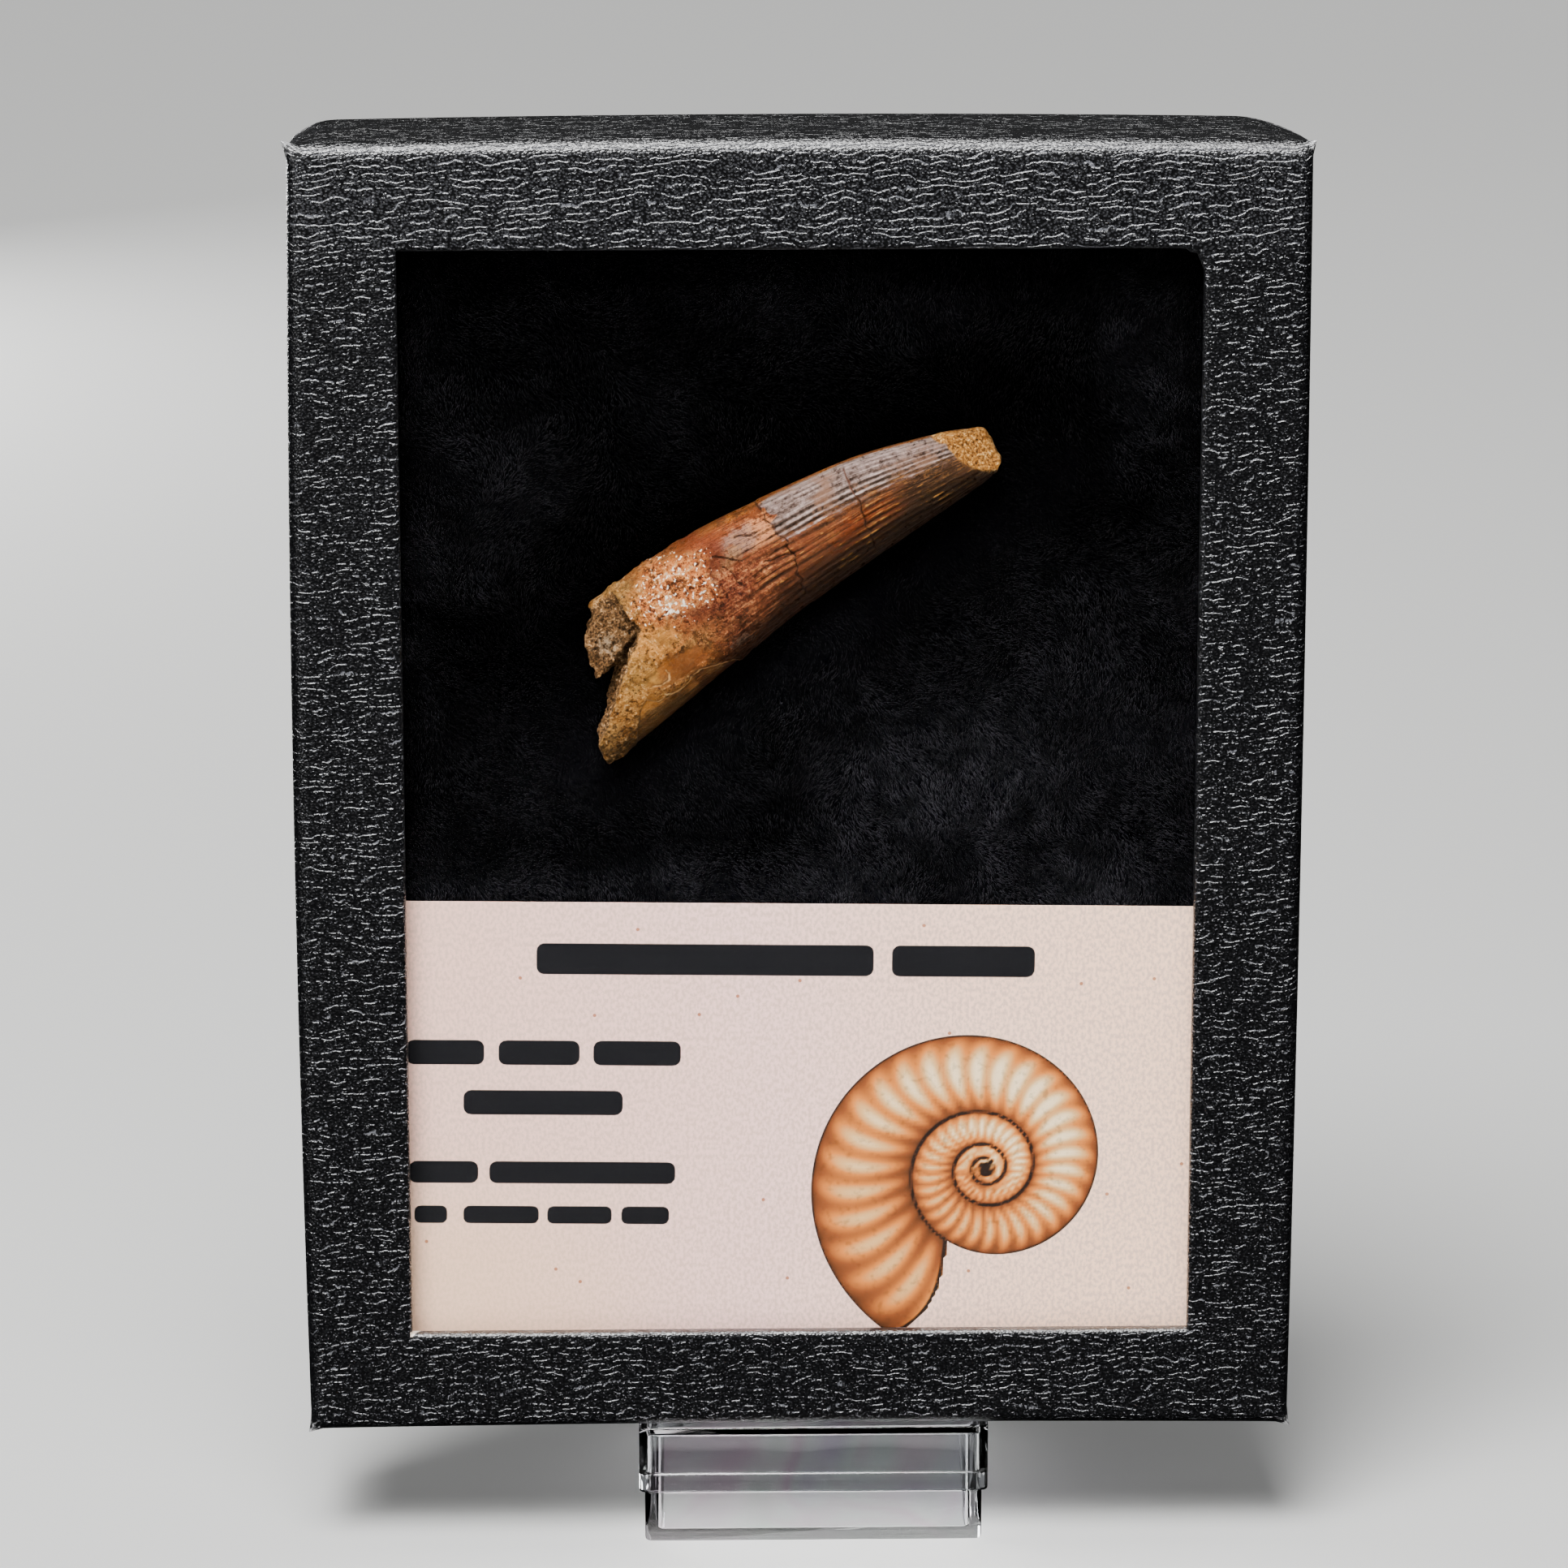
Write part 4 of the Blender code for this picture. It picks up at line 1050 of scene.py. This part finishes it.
def build_tooth():
    """The fossil: cut, remeshed finely, then carved corner by corner with ridges, cracks, chips and grain."""
    cutters = [
        ragged_prism("root outline", ROOT_OUTLINE, -5, 30, 0.5),
        ragged_prism("root break", ROOT_BREAK, -5, ROOT_BREAK_DEPTH, 0.7),
    ]
    hollow = bmesh.new()
    aim = Vector((0.86, 0.03, 0.5)).to_track_quat("Z", "Y").to_matrix().to_4x4()
    bmesh.ops.create_cone(
        hollow, cap_ends=True, segments=24, radius1=3.4, radius2=0.8, depth=21,
        matrix=Matrix.Translation((6.2, 10.6, 3.4)) @ aim,
    )
    cutters.append(linked("pulp hollow", settled_mesh("pulp hollow", hollow)))
    cuts = [("BOOLEAN", {"object": c, "operation": "DIFFERENCE", "solver": "EXACT"}) for c in cutters]
    mesh = evaluated_mesh(
        tooth_blank(), *cuts, ("REMESH", {"mode": "VOXEL", "voxel_size": 0.23}),
        ("SMOOTH", {"factor": 0.5, "iterations": 4}),
    )
    for cutter in cutters:
        bpy.data.objects.remove(cutter, do_unlink=True)

    points, normals = read_vectors(mesh.vertices, "co"), read_vectors(mesh.vertex_normals, "vector")
    along, depth, across = points.T
    middle, centre, half_width, half_thick = tooth_section(along)
    c, s = (across - middle) / half_width, (centre - depth) / half_thick
    whole = (np.abs(c) ** TOOTH_ROUNDNESS + np.abs(s) ** TOOTH_ROUNDNESS) ** (1 / TOOTH_ROUNDNESS)
    below = (1 - whole) * np.hypot(c * half_width, s * half_thick) / np.maximum(whole, 0.05)
    broken = smooth(0.12, 0.45, below)
    girth = np.arctan2(s, c) * 9.0
    big, medium, small = lumps(points, 3.2, 3, 1), lumps(points, 1.1, 3, 2), lumps(points, 0.5, 2, 3)
    wander = 0.35 * lumps(points, 1.6, 2, 5)
    crack = np.full(len(points), 3.0)
    for line in CRACKS:
        crack = np.minimum(crack, distance_to_line(along + wander, across - wander, line))
    crack = np.where(s > 0, crack, 3.0)
    chip_along, chip_across = zip(*reversed(CHIP_EDGE))
    side = np.interp(across + wander, chip_across, chip_along)
    chip = np.where(s > -0.2, along + wander - side, along - 38.5 + 2 * big)

    root = 1 - smooth(14, 30, along)
    crown = smooth(22, 34, along + 3 * big)
    tip = smooth(-0.15, 0.15, along + wander - np.interp(across, *zip(*TIP_EDGE))) * (s > -0.3)
    broken = np.maximum(broken, tip)
    above_crust = across + wander * 0.5 - np.interp(along, *zip(*CRUST_EDGE), left=-20, right=-20)
    worn_low = smooth(0.2, -0.2, above_crust) * (s > -0.2)
    amber = smooth(1.1, 0.8, np.hypot((along - 15.2) / 5.6, (across - 0.4) / 2.1) + 0.12 * medium) * (s > 0)
    crust = (1 - smooth(24, 33, along + 3 * big)) * (1 - 0.85 * np.maximum(worn_low, amber))
    grit = np.maximum(crust, broken)
    streaks = points * np.array([0.1, 1, 1])
    around = girth + 0.12 * lumps(points, 6.0, 2, 7) + 0.6 * lumps(streaks, 2.6, 2, 8)
    around = around + 0.1 * lumps(points, 0.8, 2, 10)
    ridge = np.cos(2 * math.pi * around / RIDGE_PITCH) * (0.75 + 0.6 * lumps(points, 4.0, 2, 9))
    ridge = ridge * (1 - 0.75 * smooth(0.45, 0.75, c))
    ridge *= crown * (1 - broken)
    lift = (1 - broken) * (
        grit * (0.24 * big + (0.16 + 0.1 * big) * medium + 0.09 * small)
        + root * 0.1 * big
        + (0.06 + 0.05 * smooth(0.6, 0.0, c)) * ridge
        - 0.14 * (1 - smooth(0.0, 0.25, crack))
        - 0.14 * (1 - smooth(-0.12, 0.1, chip)) * smooth(-9, -1, chip)
        - 0.28 * worn_low - 0.14 * amber
    )
    lift += broken * (0.35 * big + 0.3 * medium + 0.16 * small) - 0.2 * tip
    lift = np.where((along > 50) & (broken > 0.5), lift * 0.6, lift)
    points += normals * lift[:, None]
    points[:, 1] = np.maximum(points[:, 1], GLASS_BACK + 0.12)
    mesh.vertices.foreach_set("co", points.astype(np.float32).ravel())
    mesh.update()
    store(mesh, crack=crack, chip=chip, broken=broken, girth=girth, rise=c, ridge=ridge, grit=grit)
    place = CASE_PLACE @ TOOTH_PLACE
    finish_piece("fossil_tooth", mesh, place, fossil(), "spinosaurus_tooth", sharp=0)


# The card


def bar_distance(x, z, box):
    """Distance outside a printed bar with rounded ends, negative inside it."""
    left, bottom, right, top = box
    radius = min((top - bottom) * 0.32, 1.2)
    dx = np.abs(x - (left + right) / 2) - (right - left) / 2 + radius
    dz = np.abs(z - (bottom + top) / 2) - (top - bottom) / 2 + radius
    return np.hypot(np.maximum(dx, 0), np.maximum(dz, 0)) + np.minimum(np.maximum(dx, dz), 0) - radius


def shell_fields(x, z):
    """A coiled shell with ribs: how far inside it a place is, the distance to its seam, and its shading."""
    dx, dz = x - SHELL_MIDDLE[0], z - SHELL_MIDDLE[1]
    r, angle = np.maximum(np.hypot(dx, dz), 0.05), np.arctan2(dz, dx)
    end = 2 * math.pi * 4 + math.radians(250)
    base = SHELL_REACH / math.exp(SHELL_GROWTH * end)
    turns = np.ceil((np.log(r / base) / SHELL_GROWTH - angle) / (2 * math.pi))
    total = angle + 2 * math.pi * turns
    outer = base * np.exp(SHELL_GROWTH * total)
    inner = base * np.exp(SHELL_GROWTH * (total - 2 * math.pi))
    part = (r - inner) / (outer - inner)
    width = outer - inner
    # The mouth bulges forward
    mouth = end - 0.5 * ((r / SHELL_REACH - 0.43) / 0.57 - 0.45) ** 2
    last = angle + 2 * math.pi * np.floor((mouth - angle) / (2 * math.pi))
    outside = base * np.exp(SHELL_GROWTH * last) - r
    past_mouth = np.where(r < SHELL_REACH, (mouth - last - 2 * math.pi) * r * 0.8, -9)
    edge = np.maximum(outside, past_mouth)
    seam = np.minimum(part, 1 - part) * width
    seam = np.where(total > end - 2 * math.pi, np.minimum(seam, np.abs(mouth - total) * r * 0.8), seam)
    ribs = 0.5 + 0.5 * np.cos(SHELL_RIBS * (total + 0.35 * (part - 0.4) ** 2))
    round_over = np.sin(math.pi * np.clip(part, 0, 1)) ** 0.7
    light = 0.55 + 0.45 * np.sin(angle + 0.6 - 1.4 * (part - 0.5))
    return edge, seam, np.clip(round_over * (0.25 + 0.45 * ribs + 0.4 * light), 0, 1)


def build_card():
    shape = bmesh.new()
    bmesh.ops.create_grid(shape, x_segments=230, y_segments=138, size=0.5)
    for v in shape.verts:
        v.co = (v.co.x * CARD_SIZE[0], 0, v.co.y * CARD_SIZE[1])
    close_back(shape, CARD_THICKNESS)
    mesh = mesh_of("card", shape)
    x, depth, z = read_vectors(mesh.vertices, "co").T
    front = depth < 0.1
    ink = np.min([bar_distance(x, z, box) for box in PRINTED_BARS], axis=0)
    edge, seam, tone = shell_fields(x, z)
    store(mesh, ink=np.where(front, ink, 9), shell=np.where(front, edge, -1), seam=seam, tone=tone)
    middle = Matrix.Translation((CARD_MIDDLE[0], CARD_FRONT, CARD_MIDDLE[1]))
    place = CASE_PLACE @ middle @ Matrix.Rotation(CARD_TURN, 4, "Y")
    finish_piece("specimen_card", mesh, place, printed_card(), "label_card")


# The riser


def moulded(name, node, steps, edge):
    """A square moulding: a cap, then one step for each side length and height, up to its last cap."""
    shape = bmesh.new()
    side, height = steps[0]
    bmesh.ops.create_grid(shape, x_segments=1, y_segments=1, size=side / 2)
    bmesh.ops.bevel(
        shape, geom=shape.verts[:], offset=1.2, segments=4, profile=0.5, affect="VERTICES", material=-1
    )
    bmesh.ops.translate(shape, vec=(0, 0, height), verts=shape.verts[:])
    cap = shape.faces[:]
    for k, (new_side, new_height) in enumerate(steps[1:]):
        grown = bmesh.ops.extrude_face_region(shape, geom=cap, use_keep_orig=(k == 0))
        if k:
            bmesh.ops.delete(shape, geom=cap, context="FACES_ONLY")
        cap = [f for f in grown["geom"] if isinstance(f, bmesh.types.BMFace)]
        for v in verts_in(grown["geom"]):
            for axis in (0, 1):
                v.co[axis] += (new_side - side) / 2 * math.copysign(1, v.co[axis])
            v.co.z = new_height
        side = new_side
    bmesh.ops.recalc_face_normals(shape, faces=shape.faces[:])
    round_edges(shape, sharp_edges(shape), edge, 3)
    piece = finish_piece(name, shape, RISER_PLACE, clear_plastic(), node, sharp=50)
    piece.visible_shadow = False


def build_riser():
    moulded(
        "clear_riser_lid", "riser_lid",
        ((54.6, 19.2), (54.6, 8.5), (53.1, 8.5), (53.1, 11.4), (52.0, 11.4), (52.0, 17.8)), 0.25,
    )
    moulded(
        "clear_riser_tray", "riser_tray",
        ((52.8, 0.0), (52.8, 8.2), (51.2, 8.2), (51.2, 17.5), (48.8, 17.5), (48.8, 1.6)), 0.3,
    )


# Floor, light and camera


def soft_light(name, place, aim, size, power):
    lamp = bpy.data.lights.new(name, "AREA")
    lamp.shape = "RECTANGLE"
    lamp.size, lamp.size_y = size
    lamp.energy = power
    made = linked(name, lamp)
    made.location = place
    made.rotation_euler = (Vector(aim) - Vector(place)).to_track_quat("-Z", "Y").to_euler()
    return made


def build_studio():
    floor_shape = bmesh.new()
    bmesh.ops.create_grid(floor_shape, x_segments=1, y_segments=1, size=6)
    floor = linked("pale_floor", mesh_of("pale_floor", floor_shape))
    paint = new_material("matte studio paint", Base_Color="#E2E2E0", Roughness=0.9, Specular_IOR_Level=0.1)
    floor.data.materials.append(paint[0])
    # The pane shows no veil of floor or sky over the black plush
    floor.visible_glossy = False

    world = bpy.data.worlds.new("soft studio")
    bpy.context.scene.world = world
    world.use_nodes = True
    feed(world.node_tree.nodes["Background"], (("Color", "#DADBDD"), ("Strength", 0.25)))
    world.cycles_visibility.glossy = False

    even = bpy.data.lights.new("even light", "SUN")
    even.energy = 2.4
    even.angle = math.radians(30)
    linked("even light", even).rotation_euler = Vector((0.25, 0.55, -0.9)).to_track_quat("-Z", "Y").to_euler()
    soft_light("overhead softbox", (-0.12, -0.36, 0.80), (0, 0, 0.12), (0.45, 0.4), 8.5)
    soft_light("front fill", (-0.70, -0.95, 0.35), (0.0, -0.02, 0.11), (0.5, 0.5), 1.5)
    soft_light("back light", (0.1, 0.95, 0.50), (0.0, 0.0, 0.2), (1.2, 0.3), 0.08)
    # Lights the case's back from below the level of its top
    soft_light("rear fill", (-0.50, 0.85, 0.13), (0.0, 0.0, 0.13), (0.35, 0.16), 5.0)
    # Seen as gloss alone, on the rounded top edges
    gloss = soft_light("gloss strip", (0.05, -0.22, 0.82), (0.05, -0.22, 0), (0.7, 0.5), 12.0)
    gloss.visible_diffuse = False


def build_camera():
    lens = bpy.data.cameras.new("camera")
    lens.lens = 159.71
    lens.sensor_width = 36
    camera = linked("camera", lens)
    camera.location = (-0.02245, -1.0428, 0.4160)
    camera.rotation_euler = (math.radians(73.95), 0, math.radians(-1.14))
    bpy.context.scene.camera = camera


build_camera()
build_studio()
build_lid()
build_tray()
build_glass()
build_wadding()
build_plush()
build_tooth()
build_card()
build_riser()
